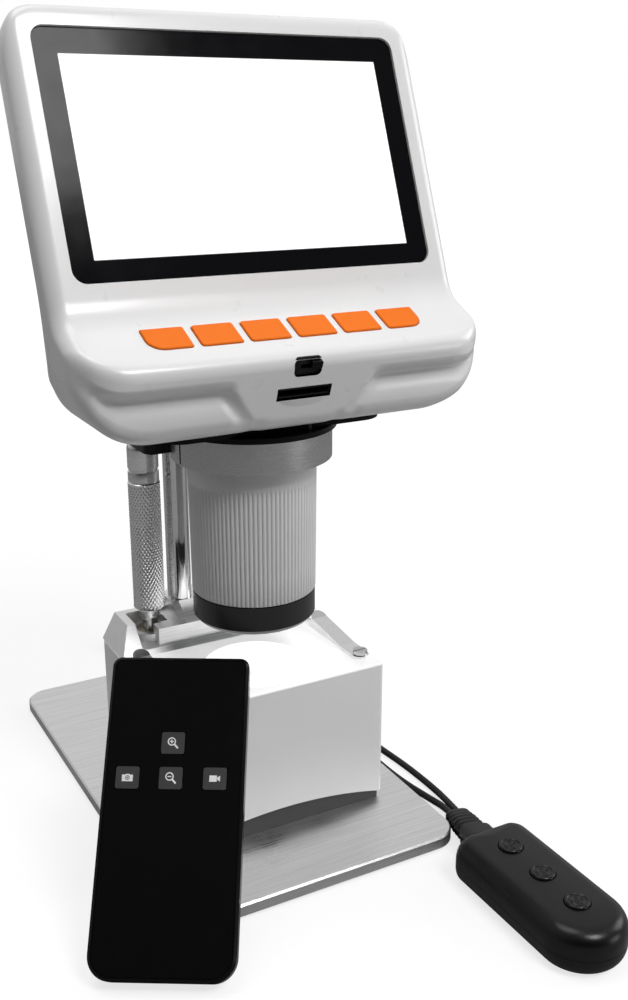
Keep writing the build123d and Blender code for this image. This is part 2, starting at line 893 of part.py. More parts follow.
with BuildPart() as focus_ring:
    foot_radius = focus_radius - focus_taper
    rib_top = focus_top - focus_plain_band
    with BuildSketch(upright):
        with BuildLine():
            Polyline(
                (core_radius + running_fit, focus_bottom),
                (foot_radius, focus_bottom),
                (focus_radius, (focus_bottom + focus_top) / 2),
                (focus_radius, focus_top - 0.5),
                (focus_radius - 0.5, focus_top),
                (core_radius + running_fit, focus_top),
                close=True,
            )
        make_face()
    revolve(axis=Axis.Z)
    with BuildSketch(Plane.XY.offset(focus_bottom + focus_foot_plain)):
        with PolarLocations(focus_radius, rib_count, rotate=True):
            Rectangle(2 * (rib_groove_depth + focus_taper / 2), rib_groove_width)
    extrude(amount=rib_top - focus_bottom - focus_foot_plain, mode=Mode.SUBTRACT)
save(focus_ring.part, "focus_ring")


with BuildPart() as lens_cell:
    cell_bottom = pin_z - lens_cell_length / 2
    with BuildSketch(upright):
        with BuildLine():
            Polyline(
                (lens_radius, cell_bottom),
                (core_bore - seat_fit, cell_bottom),
                (core_bore - seat_fit, cell_bottom + lens_cell_length),
                (lens_radius - cell_shoulder, cell_bottom + lens_cell_length),
                (lens_radius - cell_shoulder, cell_bottom + lens_seat),
                (lens_radius, cell_bottom + lens_seat),
                close=True,
            )
        make_face()
    revolve(axis=Axis.Z)
    with BuildSketch(Plane.YZ.offset(lens_radius + 1)):
        with Locations((0, pin_z)):
            Circle(drive_pin_radius)
    extrude(amount=core_radius - lens_radius - 1 - seat_fit)
save(lens_cell.part, "lens_cell")


lens_curve = (lens_radius**2 + lens_bulge**2) / (2 * lens_bulge)
with BuildPart() as lens_glass:
    with BuildSketch(upright):
        with BuildLine():
            Line((0, cell_bottom), (0, cell_bottom + lens_seat))
            Line((0, cell_bottom + lens_seat), (lens_radius, cell_bottom + lens_seat))
            Line((lens_radius, cell_bottom + lens_seat), (lens_radius, cell_bottom + lens_bulge))
            ThreePointArc(
                (lens_radius, cell_bottom + lens_bulge),
                (lens_radius / 2, cell_bottom + lens_curve - sqrt(lens_curve**2 - lens_radius**2 / 4)),
                (0, cell_bottom),
            )
        make_face()
    revolve(axis=Axis.Z)
save(lens_glass.part, "lens_glass")


with BuildPart() as neck_plate:
    with BuildSketch(Plane.XY.offset(neck_bottom)):
        with Locations((0, (neck_front + neck_back) / 2)):
            RectangleRounded(2 * neck_half_width, neck_back - neck_front, neck_corner)
        Circle(core_bore, mode=Mode.SUBTRACT)
        with PolarLocations(head_screw_circle_radius, 4, start_angle=head_screw_angle):
            Circle(head_screw_radius, mode=Mode.SUBTRACT)
    extrude(amount=neck_thickness)
save(neck_plate.part, "neck_plate")


# ================================================================ head housing
apron_foot = head_floor + apron_lift
apron_slope = atan2(apron_foot_y - lip_front, lip_top - apron_foot)
lip_bottom = head_floor + lip_height
far = 2 * head_half_width
apron = Plane(
    origin=(0, lip_front, lip_top),
    x_dir=(1, 0, 0),
    z_dir=(0, -cos(apron_slope), -sin(apron_slope)),
)


def apron_drop(height):
    """Distance down the apron's front from the lip's edge to a height over the head's floor."""
    return (lip_top - head_floor - height) / cos(apron_slope)


def front_side(inset):
    """Side outline of the front part: face strip, shelf, lip and apron."""
    with BuildSketch(Plane.YZ.offset(-far)) as outline:
        with BuildLine():
            Polyline(
                face_point(crease_b + strip_height, slab_front),
                (crease_y, crease_z),
                (lip_front, lip_top),
                (apron_foot_y, apron_foot),
                (0, apron_foot),
                (0, crease_z),
                face_point(crease_b + strip_height, seam_depth - 1),
                close=True,
            )
        make_face()
        if inset > 0:
            offset(amount=-inset, kind=Kind.INTERSECTION)
    return outline.sketch


def front_face(inset, back=far):
    """Front outline of the front part: the lip with the apron's beak below it."""
    with BuildSketch(Plane.XZ.offset(-back)) as outline:
        with Locations((0, (lip_bottom + face_centre_z) / 2)):
            Rectangle(2 * head_half_width, face_centre_z - lip_bottom)
        fillet(outline.vertices().group_by(Axis.Y)[0], lip_corner_rise)
        with BuildLine():
            Polyline(
                (-apron_half_width - apron_flare, lip_bottom + 1),
                (-apron_half_width - apron_flare, lip_bottom),
                (-apron_half_width, apron_foot - outline_overlap),
                (apron_half_width, apron_foot - outline_overlap),
                (apron_half_width + apron_flare, lip_bottom),
                (apron_half_width + apron_flare, lip_bottom + 1),
                close=True,
            )
        make_face()
        corners = outline.vertices().filter_by(lambda v: abs(abs(v.X) - apron_half_width) < 0.01)
        fillet(corners, apron_foot_round)
        corners = outline.vertices().filter_by(
            lambda v: abs(abs(v.X) - apron_half_width - apron_flare) < 0.01 and v.Y < lip_bottom + 0.5
        )
        fillet(corners, apron_flare_round)
        if inset > 0:
            offset(amount=-inset, kind=Kind.INTERSECTION)
    return outline.sketch


def front_plan(inset):
    """Plan outline of the front part: a bowed edge with large corners."""
    with BuildSketch() as outline:
        with BuildLine():
            ThreePointArc(
                (-head_half_width, plan_front + plan_bow),
                (0, plan_front),
                (head_half_width, plan_front + plan_bow),
            )
            Polyline(
                (head_half_width, plan_front + plan_bow),
                (head_half_width, front_part_back),
                (-head_half_width, front_part_back),
                (-head_half_width, plan_front + plan_bow),
            )
        make_face()
        fillet(outline.vertices().group_by(Axis.Y)[0], plan_corner)
        if inset > 0:
            offset(amount=-inset, kind=Kind.INTERSECTION)
    return outline.sketch


def rear_side(inset):
    """Side outline of the rear part: lobes under the lip, floor, back wall and its slope."""
    with BuildSketch(Plane.YZ.offset(-far)) as outline:
        with BuildLine():
            Polyline(
                (lobe_top_y, lip_bottom + lobe_rise),
                (lobe_top_y, lip_bottom),
                (lobe_front, head_floor + lobe_height),
                (lobe_foot_y, head_floor),
                (belly_back, head_floor),
                (belly_back, belly_top),
                face_point(belly_top_b, slab_back),
                face_point(belly_top_b, seam_depth - 1),
                face_point(crease_b + strip_height, seam_depth - 1),
                close=True,
            )
        make_face()
        low = outline.vertices().filter_by(lambda v: v.Y < head_floor + lobe_height + 1)
        fillet(low.filter_by(lambda v: v.X < 0), lobe_round)
        fillet(outline.vertices().filter_by(lambda v: abs(v.X - belly_back) < 0.01), belly_round)
        if inset > 0:
            offset(amount=-inset, kind=Kind.INTERSECTION)
    return outline.sketch


def rear_face(inset):
    """Front outline of the rear part: round lower corners, shoulders that taper to the top."""
    with BuildSketch(Plane.XZ.offset(-far)) as outline:
        with BuildLine():
            Polyline(
                (-rear_half_width, head_floor - outline_overlap),
                (rear_half_width, head_floor - outline_overlap),
                (rear_half_width, crease_z),
                (waist_half_width, crease_z + 2 * plan_corner),
                (shoulder_half_width, belly_top + belly_round),
                (-shoulder_half_width, belly_top + belly_round),
                (-waist_half_width, crease_z + 2 * plan_corner),
                (-rear_half_width, crease_z),
                close=True,
            )
        make_face()
        fillet(outline.vertices().group_by(Axis.Y)[0], floor_corner)
        fillet(outline.vertices().group_by(Axis.Y)[-1], plan_corner)
        if inset > 0:
            offset(amount=-inset, kind=Kind.INTERSECTION)
    return outline.sketch


def rear_plan(inset):
    """Plan outline of the rear part, waisted behind the screen."""
    with BuildSketch() as outline:
        with BuildLine():
            Polyline(
                (-rear_half_width, plan_front),
                (rear_half_width, plan_front),
                (rear_half_width, waist_y),
                (waist_half_width, waist_back_y),
                (waist_half_width, belly_back + 1),
                (-waist_half_width, belly_back + 1),
                (-waist_half_width, waist_back_y),
                (-rear_half_width, waist_y),
                close=True,
            )
        make_face()
        fillet(outline.vertices().group_by(Axis.Y)[0], plan_corner)
        fillet(outline.vertices().group_by(Axis.Y)[-1], waist_corner)
        fillet(outline.vertices().filter_by(lambda v: abs(v.Y - waist_back_y) < 0.01), waist_corner)
        if inset > 0:
            offset(amount=-inset, kind=Kind.INTERSECTION)
    return outline.sketch


def crossed(side, front, plan):
    """Solid common to a side outline, a front outline and a plan outline."""
    with BuildPart() as solid:
        extrude(side, amount=2 * far)
        extrude(front, amount=2 * far, mode=Mode.INTERSECT)
        extrude(plan, amount=2 * face_centre_z, mode=Mode.INTERSECT)
    return solid.part


def slab_solid(inset, c_low, c_high):
    """The screen slab between two depths, its outline inset by a wall."""
    bottom = crease_b - strip_height
    with BuildPart() as slab:
        with BuildSketch(face.offset(c_low)) as outline:
            with Locations((0, (slab_top - inset + bottom) / 2)):
                Rectangle(2 * (head_half_width - inset), slab_top - inset - bottom)
            fillet(outline.vertices().group_by(Axis.Y)[-1], slab_corner - inset)
        extrude(amount=c_high - c_low)
    return slab.part


with BuildPart() as slab_outer:
    add(slab_solid(0, slab_back, slab_front))
    ends = slab_outer.faces().filter_by(lambda f: abs(f.normal_at().dot(face.z_dir)) > 0.99)
    front_end = ends.sort_by(lambda f: f.center().dot(face.z_dir))[-1]
    slab_edges = front_end.edges().filter_by(lambda e: e.center().Z > crease_z - 1)
    fillet(slab_edges, slab_front_round)
    ends = slab_outer.faces().filter_by(lambda f: abs(f.normal_at().dot(face.z_dir)) > 0.99)
    back_end = ends.sort_by(lambda f: f.center().dot(face.z_dir))[0]
    slab_edges = back_end.edges().filter_by(lambda e: e.center().Z > crease_z - 5)
    fillet(slab_edges, slab_back_round)

with BuildPart() as front_block:
    add(crossed(front_side(0), front_face(0), front_plan(0)))
    tops = front_block.faces().filter_by(lambda f: abs(f.normal_at().dot(shelf.z_dir)) > 0.999)
    lip_edges = tops.sort_by(Axis.Z)[-1].edges().filter_by(lambda e: e.center().Y < crease_y - 1)
    fillet(lip_edges, lip_round)
rear_block = crossed(rear_side(0), rear_face(0), rear_plan(0))
front_hollow = crossed(front_side(shell_wall), front_face(shell_wall), front_plan(shell_wall))
rear_hollow = crossed(rear_side(shell_wall), rear_face(shell_wall), rear_plan(shell_wall))
slab_hollow = slab_solid(shell_wall, slab_back + shell_wall, slab_front - slab_front_wall)

with BuildPart() as front_zone:
    extrude(front_face(0, seam_y), amount=far)
    with BuildSketch(Plane.XZ.offset(-seam_y)):
        with Locations((0, lip_bottom - lip_height)):
            Rectangle(far, 2 * lip_height)
    extrude(amount=seam_y - beak_back, mode=Mode.SUBTRACT)
    add(slab_solid(-1, seam_depth, slab_front + 5))

key_centres = [((i - (key_count - 1) / 2) * key_pitch, -key_centre_down) for i in range(key_count)]
key_board_top = shell_wall + key_flange_thickness + running_fit + key_travel + dome_height + dome_gap
knob_down = knob_up - apron_drop(switch_centre_up)


def key_outline(index, grow):
    """Outline of one screen key on the shelf; the two end keys have one large round corner."""
    x, down = key_centres[index]
    with BuildSketch() as outline:
        with Locations((x, down)):
            Rectangle(key_width + 2 * grow, key_depth + 2 * grow)
        corners = outline.vertices()
        if index in (0, key_count - 1):
            outer = corners.group_by(Axis.Y)[0].sort_by(Axis.X)[0 if index == 0 else -1]
            fillet(outer, key_end_round + grow)
            corners = outline.vertices().group_by(Axis.X)[-1 if index == 0 else 0]
        fillet(corners, key_corner + grow)
    return outline.sketch


key_windows = [key_outline(index, key_fit) for index in range(key_count)]
key_caps = [key_outline(index, 0) for index in range(key_count)]
with BuildPart() as head_front_shell:
    add(front_block.part)
    add(slab_outer.part)
    add(front_zone.part, mode=Mode.INTERSECT)
    add(front_hollow, mode=Mode.SUBTRACT)
    add(rear_hollow, mode=Mode.SUBTRACT)
    add(slab_hollow, mode=Mode.SUBTRACT)
    # recess and window of the screen glass
    with BuildSketch(face):
        with Locations((0, glass_centre_b)):
            RectangleRounded(
                glass_width + 2 * glass_fit,
                glass_height + 2 * glass_fit,
                glass_corner + glass_fit,
            )
    extrude(amount=slab_front + 1, mode=Mode.SUBTRACT)
    with BuildSketch(face.offset(-glass_thickness)):
        with Locations((0, glass_centre_b)):
            RectangleRounded(
                glass_width + 2 * glass_fit,
                glass_height + 2 * glass_fit,
                glass_corner + glass_fit,
            )
    extrude(amount=glass_thickness + 1, mode=Mode.SUBTRACT)
    with BuildSketch(face.offset(-slab_front_wall - 1)):
        with Locations((0, glass_centre_b)):
            Rectangle(view_width, view_height)
    extrude(amount=slab_front_wall + 1, mode=Mode.SUBTRACT)
    # windows of the screen keys
    with BuildSketch(shelf.offset(slab_front)):
        for window in key_windows:
            add(window)
    extrude(amount=-2 * shell_wall - slab_front, mode=Mode.SUBTRACT)
    # posts of the key board
    with BuildSketch(shelf.offset(-shell_wall)):
        with Locations((-key_post_x, -key_centre_down), (key_post_x, -key_centre_down)):
            Rectangle(key_post_width, key_board_depth)
    extrude(amount=-(key_board_top - shell_wall))
    # windows of the power switch and the card slot, finger notch below the slot
    with BuildSketch(apron.offset(switch_recess)):
        with Locations((0, -apron_drop(switch_centre_up))):
            RectangleRounded(switch_width, switch_height, switch_corner)
        with Locations((0, -apron_drop(slot_centre_up))):
            Rectangle(slot_width, slot_height)
    extrude(amount=-2 * shell_wall, mode=Mode.SUBTRACT)
    with BuildSketch(apron.offset(-notch_depth)):
        with Locations((0, -apron_drop(slot_centre_up) - slot_height / 2)):
            Circle(notch_radius)
            Rectangle(4 * notch_radius, slot_height, align=(Align.CENTER, Align.MIN), mode=Mode.SUBTRACT)
            with Locations((0, -notch_drop)):
                Rectangle(
                    4 * notch_radius,
                    4 * notch_radius,
                    align=(Align.CENTER, Align.MAX),
                    mode=Mode.SUBTRACT,
                )
    extrude(amount=2 * notch_depth, mode=Mode.SUBTRACT)
save(head_front_shell.part, "head_front_shell")

with BuildPart() as head_rear_shell:
    add(rear_block)
    add(slab_outer.part)
    add(front_zone.part, mode=Mode.SUBTRACT)
    add(front_hollow, mode=Mode.SUBTRACT)
    add(rear_hollow, mode=Mode.SUBTRACT)
    add(slab_hollow, mode=Mode.SUBTRACT)
    with BuildSketch(Plane.XY.offset(head_floor - 1)):
        Circle(core_bore)
        with PolarLocations(head_screw_circle_radius, 4, start_angle=head_screw_angle):
            Circle(head_screw_radius)
    extrude(amount=shell_wall + 2, mode=Mode.SUBTRACT)
save(head_rear_shell.part, "head_rear_shell")


# ================================================================ pieces inside the head
with BuildPart() as screen_glass:
    with BuildSketch(face.offset(-glass_thickness)):
        with Locations((0, glass_centre_b)):
            RectangleRounded(glass_width, glass_height, glass_corner)
    extrude(amount=glass_thickness)
save(screen_glass.part, "screen_glass")


lcd_front = slab_front - slab_front_wall - layer_gap
with BuildPart() as lcd_panel:
    with BuildSketch(face.offset(lcd_front)):
        with Locations((0, glass_centre_b)):
            Rectangle(lcd_width, lcd_height)
    extrude(amount=-lcd_thickness)
save(lcd_panel.part, "lcd_panel")


board_front = lcd_front - lcd_thickness - layer_gap
with BuildPart() as main_board:
    with BuildSketch(face.offset(board_front)):
        with Locations((0, glass_centre_b)):
            Rectangle(board_width, board_height)
    extrude(amount=-board_thickness)
    with BuildSketch(face.offset(board_front - board_thickness)):
        with Locations((-board_width / 6, 0), (board_width / 5, board_height / 6)):
            Rectangle(chip_size, chip_size)
    extrude(amount=-chip_height)
save(main_board.part, "main_board")


with BuildPart() as key_board:
    with BuildSketch(shelf.offset(-key_board_top)):
        with Locations((0, -key_centre_down)):
            Rectangle(key_board_width, key_board_depth)
    extrude(amount=-key_board_thickness)
    with BuildSketch(shelf.offset(-key_board_top)):
        with Locations(*key_centres):
            Circle(dome_radius)
    extrude(amount=dome_height)
save(key_board.part, "key_board")


def screen_key(index):
    """One screen key: a cap through its window with a flange under the shell."""
    x, down = key_centres[index]
    with BuildPart() as cap:
        with BuildSketch(shelf.offset(-shell_wall - running_fit - key_flange_thickness)):
            add(key_caps[index])
        extrude(amount=shell_wall + running_fit + key_flange_thickness + key_proud)
        top = cap.faces().sort_by(lambda f: f.center().dot(shelf.z_dir))[-1]
        chamfer(top.edges(), key_edge)
        with BuildSketch(shelf.offset(-shell_wall - running_fit)):
            with Locations((x, down)):
                Rectangle(key_width + 2 * key_flange, key_depth + 2 * key_flange)
        extrude(amount=-key_flange_thickness)
    return cap.part


for number in range(key_count):
    save(screen_key(number), f"screen_key_{number + 1}")


with BuildPart() as power_slider:
    with BuildSketch(apron.offset(-switch_recess + running_fit)) as knob:
        with Locations((knob_x, knob_down)):
            RectangleRounded(knob_width, knob_height, knob_height / 5)
    extrude(amount=switch_recess + knob_proud - running_fit)
    with BuildSketch(apron.offset(-switch_recess + running_fit)):
        with Locations((knob_x, knob_down - knob_stem_drop)):
            Rectangle(knob_stem_width, knob_stem_height)
    extrude(amount=-(shell_wall - switch_recess + knob_stem_reach))
save(power_slider.part, "power_slider")


with BuildPart() as switch_body:
    with BuildSketch(apron.offset(-shell_wall)):
        with Locations((knob_x - knob_travel / 2, knob_down - switch_body_drop)):
            Rectangle(switch_body_width, switch_body_height)
    extrude(amount=-switch_body_thickness)
    with BuildSketch(apron.offset(-switch_recess)):
        with Locations((0, -apron_drop(switch_centre_up))):
            RectangleRounded(
                switch_width - 2 * seat_fit,
                switch_height - 2 * seat_fit,
                switch_corner - seat_fit,
            )
    extrude(amount=switch_recess - shell_wall)
    with BuildSketch(apron.offset(-switch_recess)):
        with Locations((knob_x - knob_travel / 2, knob_down - knob_stem_drop)):
            Rectangle(knob_travel + knob_stem_width + 2 * knob_fit, knob_stem_height + 2 * knob_fit)
    extrude(amount=switch_recess - shell_wall - knob_stem_reach - knob_fit, mode=Mode.SUBTRACT)
save(switch_body.part, "switch_body")


with BuildPart() as card_socket:
    with BuildSketch(apron.offset(-shell_wall)):
        with Locations((0, -apron_drop(slot_centre_up))):
            Rectangle(slot_width + 2 * card_socket_wall, slot_height + 2 * card_socket_wall)
    extrude(amount=-card_socket_depth)
    with BuildSketch(apron.offset(-card_mouth_depth)):
        with Locations((0, -apron_drop(slot_centre_up))):
            Rectangle(slot_width - 2 * seat_fit, slot_height - 2 * seat_fit)
    extrude(amount=card_mouth_depth - shell_wall)
    with BuildSketch(apron.offset(-card_mouth_depth)):
        with Locations((0, -apron_drop(slot_centre_up))):
            Rectangle(
                slot_width - 2 * seat_fit - 2 * card_socket_wall,
                slot_height - 2 * seat_fit - 2 * card_socket_wall,
            )
    extrude(amount=card_mouth_depth - card_socket_depth, mode=Mode.SUBTRACT)
save(card_socket.part, "card_socket")


inner_floor = head_floor + shell_wall
with BuildPart() as sensor_board:
    with BuildSketch(Plane.XY.offset(inner_floor)):
        Rectangle(sensor_board_size, sensor_board_size)
    extrude(amount=board_thickness)
    with BuildSketch(Plane.XY.offset(inner_floor)):
        Rectangle(sensor_size, sensor_size)
    extrude(amount=-sensor_height)
save(sensor_board.part, "sensor_board")


with BuildPart() as head_screws:
    with BuildSketch(Plane.XY.offset(inner_floor)):
        with PolarLocations(head_screw_circle_radius, 4, start_angle=head_screw_angle):
            Circle(head_screw_head_radius)
    extrude(amount=head_screw_head_height)
    with BuildSketch(Plane.XY.offset(inner_floor)):
        with PolarLocations(head_screw_circle_radius, 4, start_angle=head_screw_angle):
            Circle(head_screw_radius)
    extrude(amount=-(inner_floor - flange_bottom) + running_fit)
save(head_screws.part, "head_screws")


# ================================================================ handheld remote
remote_foot_x = -(box_half_width + remote_foot_out_from_box_side)
remote_foot_y = box_front - remote_foot_before_box
remote_foot_z = remote_thickness * sin(radians(remote_lean))
remote = Plane(
    origin=(remote_foot_x, remote_foot_y, remote_foot_z),
    x_dir=(cos(radians(remote_yaw)), sin(radians(remote_yaw)), 0),
    z_dir=(
        cos(radians(remote_lean)) * sin(radians(remote_yaw)),
        -cos(radians(remote_lean)) * cos(radians(remote_yaw)),
        sin(radians(remote_lean)),
    ),
)
remote_keys = {
    "remote_zoom_in_key": (-0.7, 61.4),
    "remote_photo_key": (-12.6, 51.8),
    "remote_zoom_out_key": (-0.7, 51.8),
    "remote_video_key": (11.4, 51.8),
}


def remote_outline(plane, inset):
    """Outline of the remote on a plane: tight corners at the top, large ones at the foot."""
    with BuildSketch(plane) as outline:
        with Locations((0, remote_length / 2)):
            Rectangle(remote_width - 2 * inset, remote_length - 2 * inset)
        fillet(outline.vertices().group_by(Axis.Y)[-1], remote_top_corner - inset)
        fillet(outline.vertices().group_by(Axis.Y)[0], remote_foot_corner - inset)
    return outline.sketch


with BuildPart() as remote_case:
    extrude(remote_outline(remote.offset(-remote_thickness), 0), amount=remote_thickness)
    caps = remote_case.faces().filter_by(lambda f: abs(f.normal_at().dot(remote.z_dir)) > 0.99)
    chamfer(caps.sort_by(lambda f: f.center().Z)[-1].edges(), remote_edge)
    caps = remote_case.faces().filter_by(lambda f: abs(f.normal_at().dot(remote.z_dir)) > 0.99)
    chamfer(caps.sort_by(lambda f: f.center().Z)[0].edges(), remote_edge)
    extrude(
        remote_outline(remote.offset(-remote_panel_thickness), remote_wall - seat_fit),
        amount=2 * remote_panel_thickness,
        mode=Mode.SUBTRACT,
    )
    with BuildSketch(remote.offset(-remote_panel_thickness)):
        with Locations(*remote_keys.values()):
            Rectangle(
                remote_key_width + 2 * (remote_key_flange + remote_key_fit),
                remote_key_height + 2 * (remote_key_flange + remote_key_fit),
            )
    extrude(amount=-remote_key_well, mode=Mode.SUBTRACT)
save(remote_case.part, "remote_case")


with BuildPart() as remote_faceplate:
    extrude(
        remote_outline(remote.offset(-remote_panel_thickness), remote_wall),
        amount=remote_panel_thickness,
    )
    with BuildSketch(remote):
        with Locations(*remote_keys.values()):
            Rectangle(remote_key_width + 2 * remote_key_fit, remote_key_height + 2 * remote_key_fit)
    extrude(amount=-remote_panel_thickness, mode=Mode.SUBTRACT)
save(remote_faceplate.part, "remote_faceplate")


for name, centre in remote_keys.items():
    with BuildPart() as remote_key:
        with BuildSketch(remote.offset(-remote_panel_thickness - running_fit)):
            with Locations(centre):
                RectangleRounded(remote_key_width, remote_key_height, remote_key_fit * 4)
        extrude(amount=remote_panel_thickness + running_fit + remote_key_proud)
        with BuildSketch(remote.offset(-remote_panel_thickness - running_fit)):
            with Locations(centre):
                Rectangle(
                    remote_key_width + 2 * remote_key_flange,
                    remote_key_height + 2 * remote_key_flange,
                )
        extrude(amount=-remote_key_flange_thickness)
    save(remote_key.part, name)


# ================================================================ wired controller
unit_front = unit_back - unit_length


def unit_outline(plane, inset):
    """Plan of the controller: one end half round, the cord end with small corners."""
    with BuildSketch(plane) as outline:
        with Locations((unit_centre_x, (unit_back + unit_front) / 2)):
            Rectangle(2 * (unit_half_width - inset), unit_length - 2 * inset)
        fillet(outline.vertices().group_by(Axis.Y)[-1], unit_back_round - inset)
        fillet(outline.vertices().group_by(Axis.Y)[0], unit_half_width - inset - 0.1)
    return outline.sketch


with BuildPart() as unit_body:
    extrude(unit_outline(Plane.XY, 0), amount=unit_height)
    fillet(unit_body.edges().group_by(Axis.Z)[-1], unit_top_round)
    fillet(unit_body.edges().group_by(Axis.Z)[0], unit_foot_round)

unit_key_places = [(unit_centre_x, unit_back - unit_key_first - i * unit_key_pitch) for i in range(3)]
with BuildPart() as controller_lower_case:
    add(unit_body.part)
    with BuildSketch(Plane.XY.offset(unit_split)):
        with Locations((unit_centre_x, (unit_back + unit_front) / 2)):
            Rectangle(4 * unit_half_width, 2 * unit_length)
    extrude(amount=unit_height, mode=Mode.SUBTRACT)
    extrude(
        unit_outline(Plane.XY.offset(unit_wall), unit_wall + unit_foot_round / 2),
        amount=unit_height,
        mode=Mode.SUBTRACT,
    )
    with BuildSketch(Plane.XY.offset(unit_wall)):
        with Locations(*unit_key_places):
            Circle(unit_post_radius)
    extrude(amount=unit_split - unit_wall)
    with BuildSketch(Plane.XZ.offset(-unit_back - 1)):
        with Locations((unit_centre_x, relief_height)):
            Circle(relief_neck_radius)
    extrude(amount=unit_wall + unit_foot_round + 1, mode=Mode.SUBTRACT)
save(controller_lower_case.part, "controller_lower_case")


unit_flange_top = unit_height - unit_wall - running_fit
with BuildPart() as controller_upper_case:
    add(unit_body.part)
    with BuildSketch(Plane.XY):
        with Locations((unit_centre_x, (unit_back + unit_front) / 2)):
            Rectangle(4 * unit_half_width, 2 * unit_length)
    extrude(amount=unit_split, mode=Mode.SUBTRACT)
    extrude(
        unit_outline(Plane.XY.offset(unit_split), unit_wall + unit_foot_round / 2),
        amount=unit_height - unit_wall - unit_split - unit_ceiling_step,
        mode=Mode.SUBTRACT,
    )
    with BuildSketch(Plane.XY.offset(unit_height - unit_wall)):
        with Locations(*unit_key_places):
            Circle(unit_key_radius + unit_key_flange + unit_key_fit)
    extrude(amount=-unit_wall - unit_ceiling_step, mode=Mode.SUBTRACT)
    with BuildSketch(Plane.XY.offset(unit_height + 1)):
        with Locations(*unit_key_places):
            Circle(unit_key_radius + unit_key_fit)
    extrude(amount=-unit_wall - 2, mode=Mode.SUBTRACT)
    with BuildSketch(Plane.XZ.offset(-unit_back - 1)):
        with Locations((unit_centre_x, relief_height)):
            Circle(relief_neck_radius)
    extrude(amount=unit_wall + unit_foot_round + 1, mode=Mode.SUBTRACT)
save(controller_upper_case.part, "controller_upper_case")


for number, place in enumerate(unit_key_places):
    with BuildPart() as unit_key:
        with BuildSketch(Plane.XY.offset(unit_flange_top - unit_key_stem)):
            with Locations(place):
                Circle(unit_key_radius)
        extrude(amount=unit_height + unit_key_proud - unit_flange_top + unit_key_stem)
        chamfer(unit_key.edges().group_by(Axis.Z)[-1], unit_key_proud / 2)
        with BuildSketch(Plane.XY.offset(unit_flange_top)):
            with Locations(place):
                Circle(unit_key_radius + unit_key_flange)
        extrude(amount=-unit_key_flange)
    save(unit_key.part, f"controller_key_{number + 1}")


# strain relief: a stepped, tapering rubber sleeve that leaves the controller at a slant
relief = Plane(
    origin=(unit_centre_x, unit_back, relief_height),
    x_dir=(1, 0, 0),
    z_dir=(sin(radians(relief_turn)), cos(radians(relief_turn)), -sin(radians(relief_dip))),
)
relief_end = relief.origin + relief.z_dir * relief_length
with BuildPart() as cord_relief:
    for start, stop, r_start, r_stop in relief_steps:
        with BuildSketch(relief.offset(start)):
            Circle(r_start)
        with BuildSketch(relief.offset(stop)):
            Circle(r_stop)
        loft()
    with BuildSketch(Plane.XZ.offset(-unit_back)):
        with Locations((unit_centre_x, relief_height)):
            Rectangle(4 * relief_neck_radius, 4 * relief_neck_radius)
    extrude(amount=unit_back_round, mode=Mode.SUBTRACT)
    with BuildSketch(Plane.XZ.offset(-unit_back)):
        with Locations((unit_centre_x, relief_height)):
            Circle(relief_neck_radius)
    extrude(amount=unit_wall + unit_foot_round / 2)
save(cord_relief.part, "cord_relief")


# ================================================================ cords
cord_side = Vector(relief.z_dir.Y, -relief.z_dir.X, 0).normalized()
lamp_start = relief_end + cord_side * cord_spacing / 2
usb_start = relief_end - cord_side * cord_spacing / 2
lamp_end = Vector(socket_centre_x, box_back + plug_length, socket_centre_z)
coil_x, coil_y = coil_centre
usb_end = Vector(coil_x + coil_mid_radius, coil_y - coil_stub, cord_radius + seat_fit)

lamp_points = [
    lamp_start,
    (55.1, -31.0, 1.9),
    (56.6, -20.0, 1.2),
    (56.2, -2.0, 1.25),
    (54.2, 16.0, 1.2),
    (53.7, 36.0, 1.25),
    (53.4, 52.0, 1.5),
    (50.8, 65.0, 6.4),
    (41.5, 75.5, 6.3),
    (30.0, 78.5, 9.0),
    (23.0, 71.5, 15.0),
    (socket_centre_x, box_back + plug_length + 9.0, socket_centre_z),
    lamp_end,
]
usb_points = [
    usb_start,
    (52.7, -31.0, 1.9),
    (51.8, -22.5, 1.2),
    (49.5, -10.0, 1.25),
    (48.9, 6.0, 1.2),
    (49.4, 28.0, 1.25),
    (49.2, 56.0, 1.2),
    (50.6, 80.0, 1.25),
    (coil_x + coil_mid_radius, coil_y - coil_stub - coil_run_in, cord_radius + seat_fit),
    usb_end,
]


def route_radii(points):
    """Largest tangent radius at each inner point: 0.45 of the shorter run over the half turn."""
    spots = [Vector(p) for p in points]
    radii = []
    for before, at, after in zip(spots, spots[1:], spots[2:]):
        turn = (at - before).get_angle(after - at)
        shorter = min((at - before).length, (after - at).length)
        radii.append(0.45 * shorter / tan(radians(turn / 2)))
    return radii


def cord_tube(points):
    """A round cord along straight runs joined by tangent arcs."""
    radii = route_radii(points)
    with BuildPart() as tube:
        with BuildLine() as path:
            FilletPolyline(*points, radius=radii)
        route = path.wires()[0]
        with BuildSketch(Plane(origin=route @ 0, z_dir=route % 0)):
            Circle(cord_radius)
        sweep(path=route)
    share = tube.part.volume / (pi * cord_radius**2 * route.length)
    print("cord radii", [round(r, 1) for r in radii], "length", round(route.length, 1))
    print("volume over section x length", round(share, 4))
    return tube.part


save(cord_tube(lamp_points), "lamp_cord")
save(cord_tube(usb_points), "usb_cord")


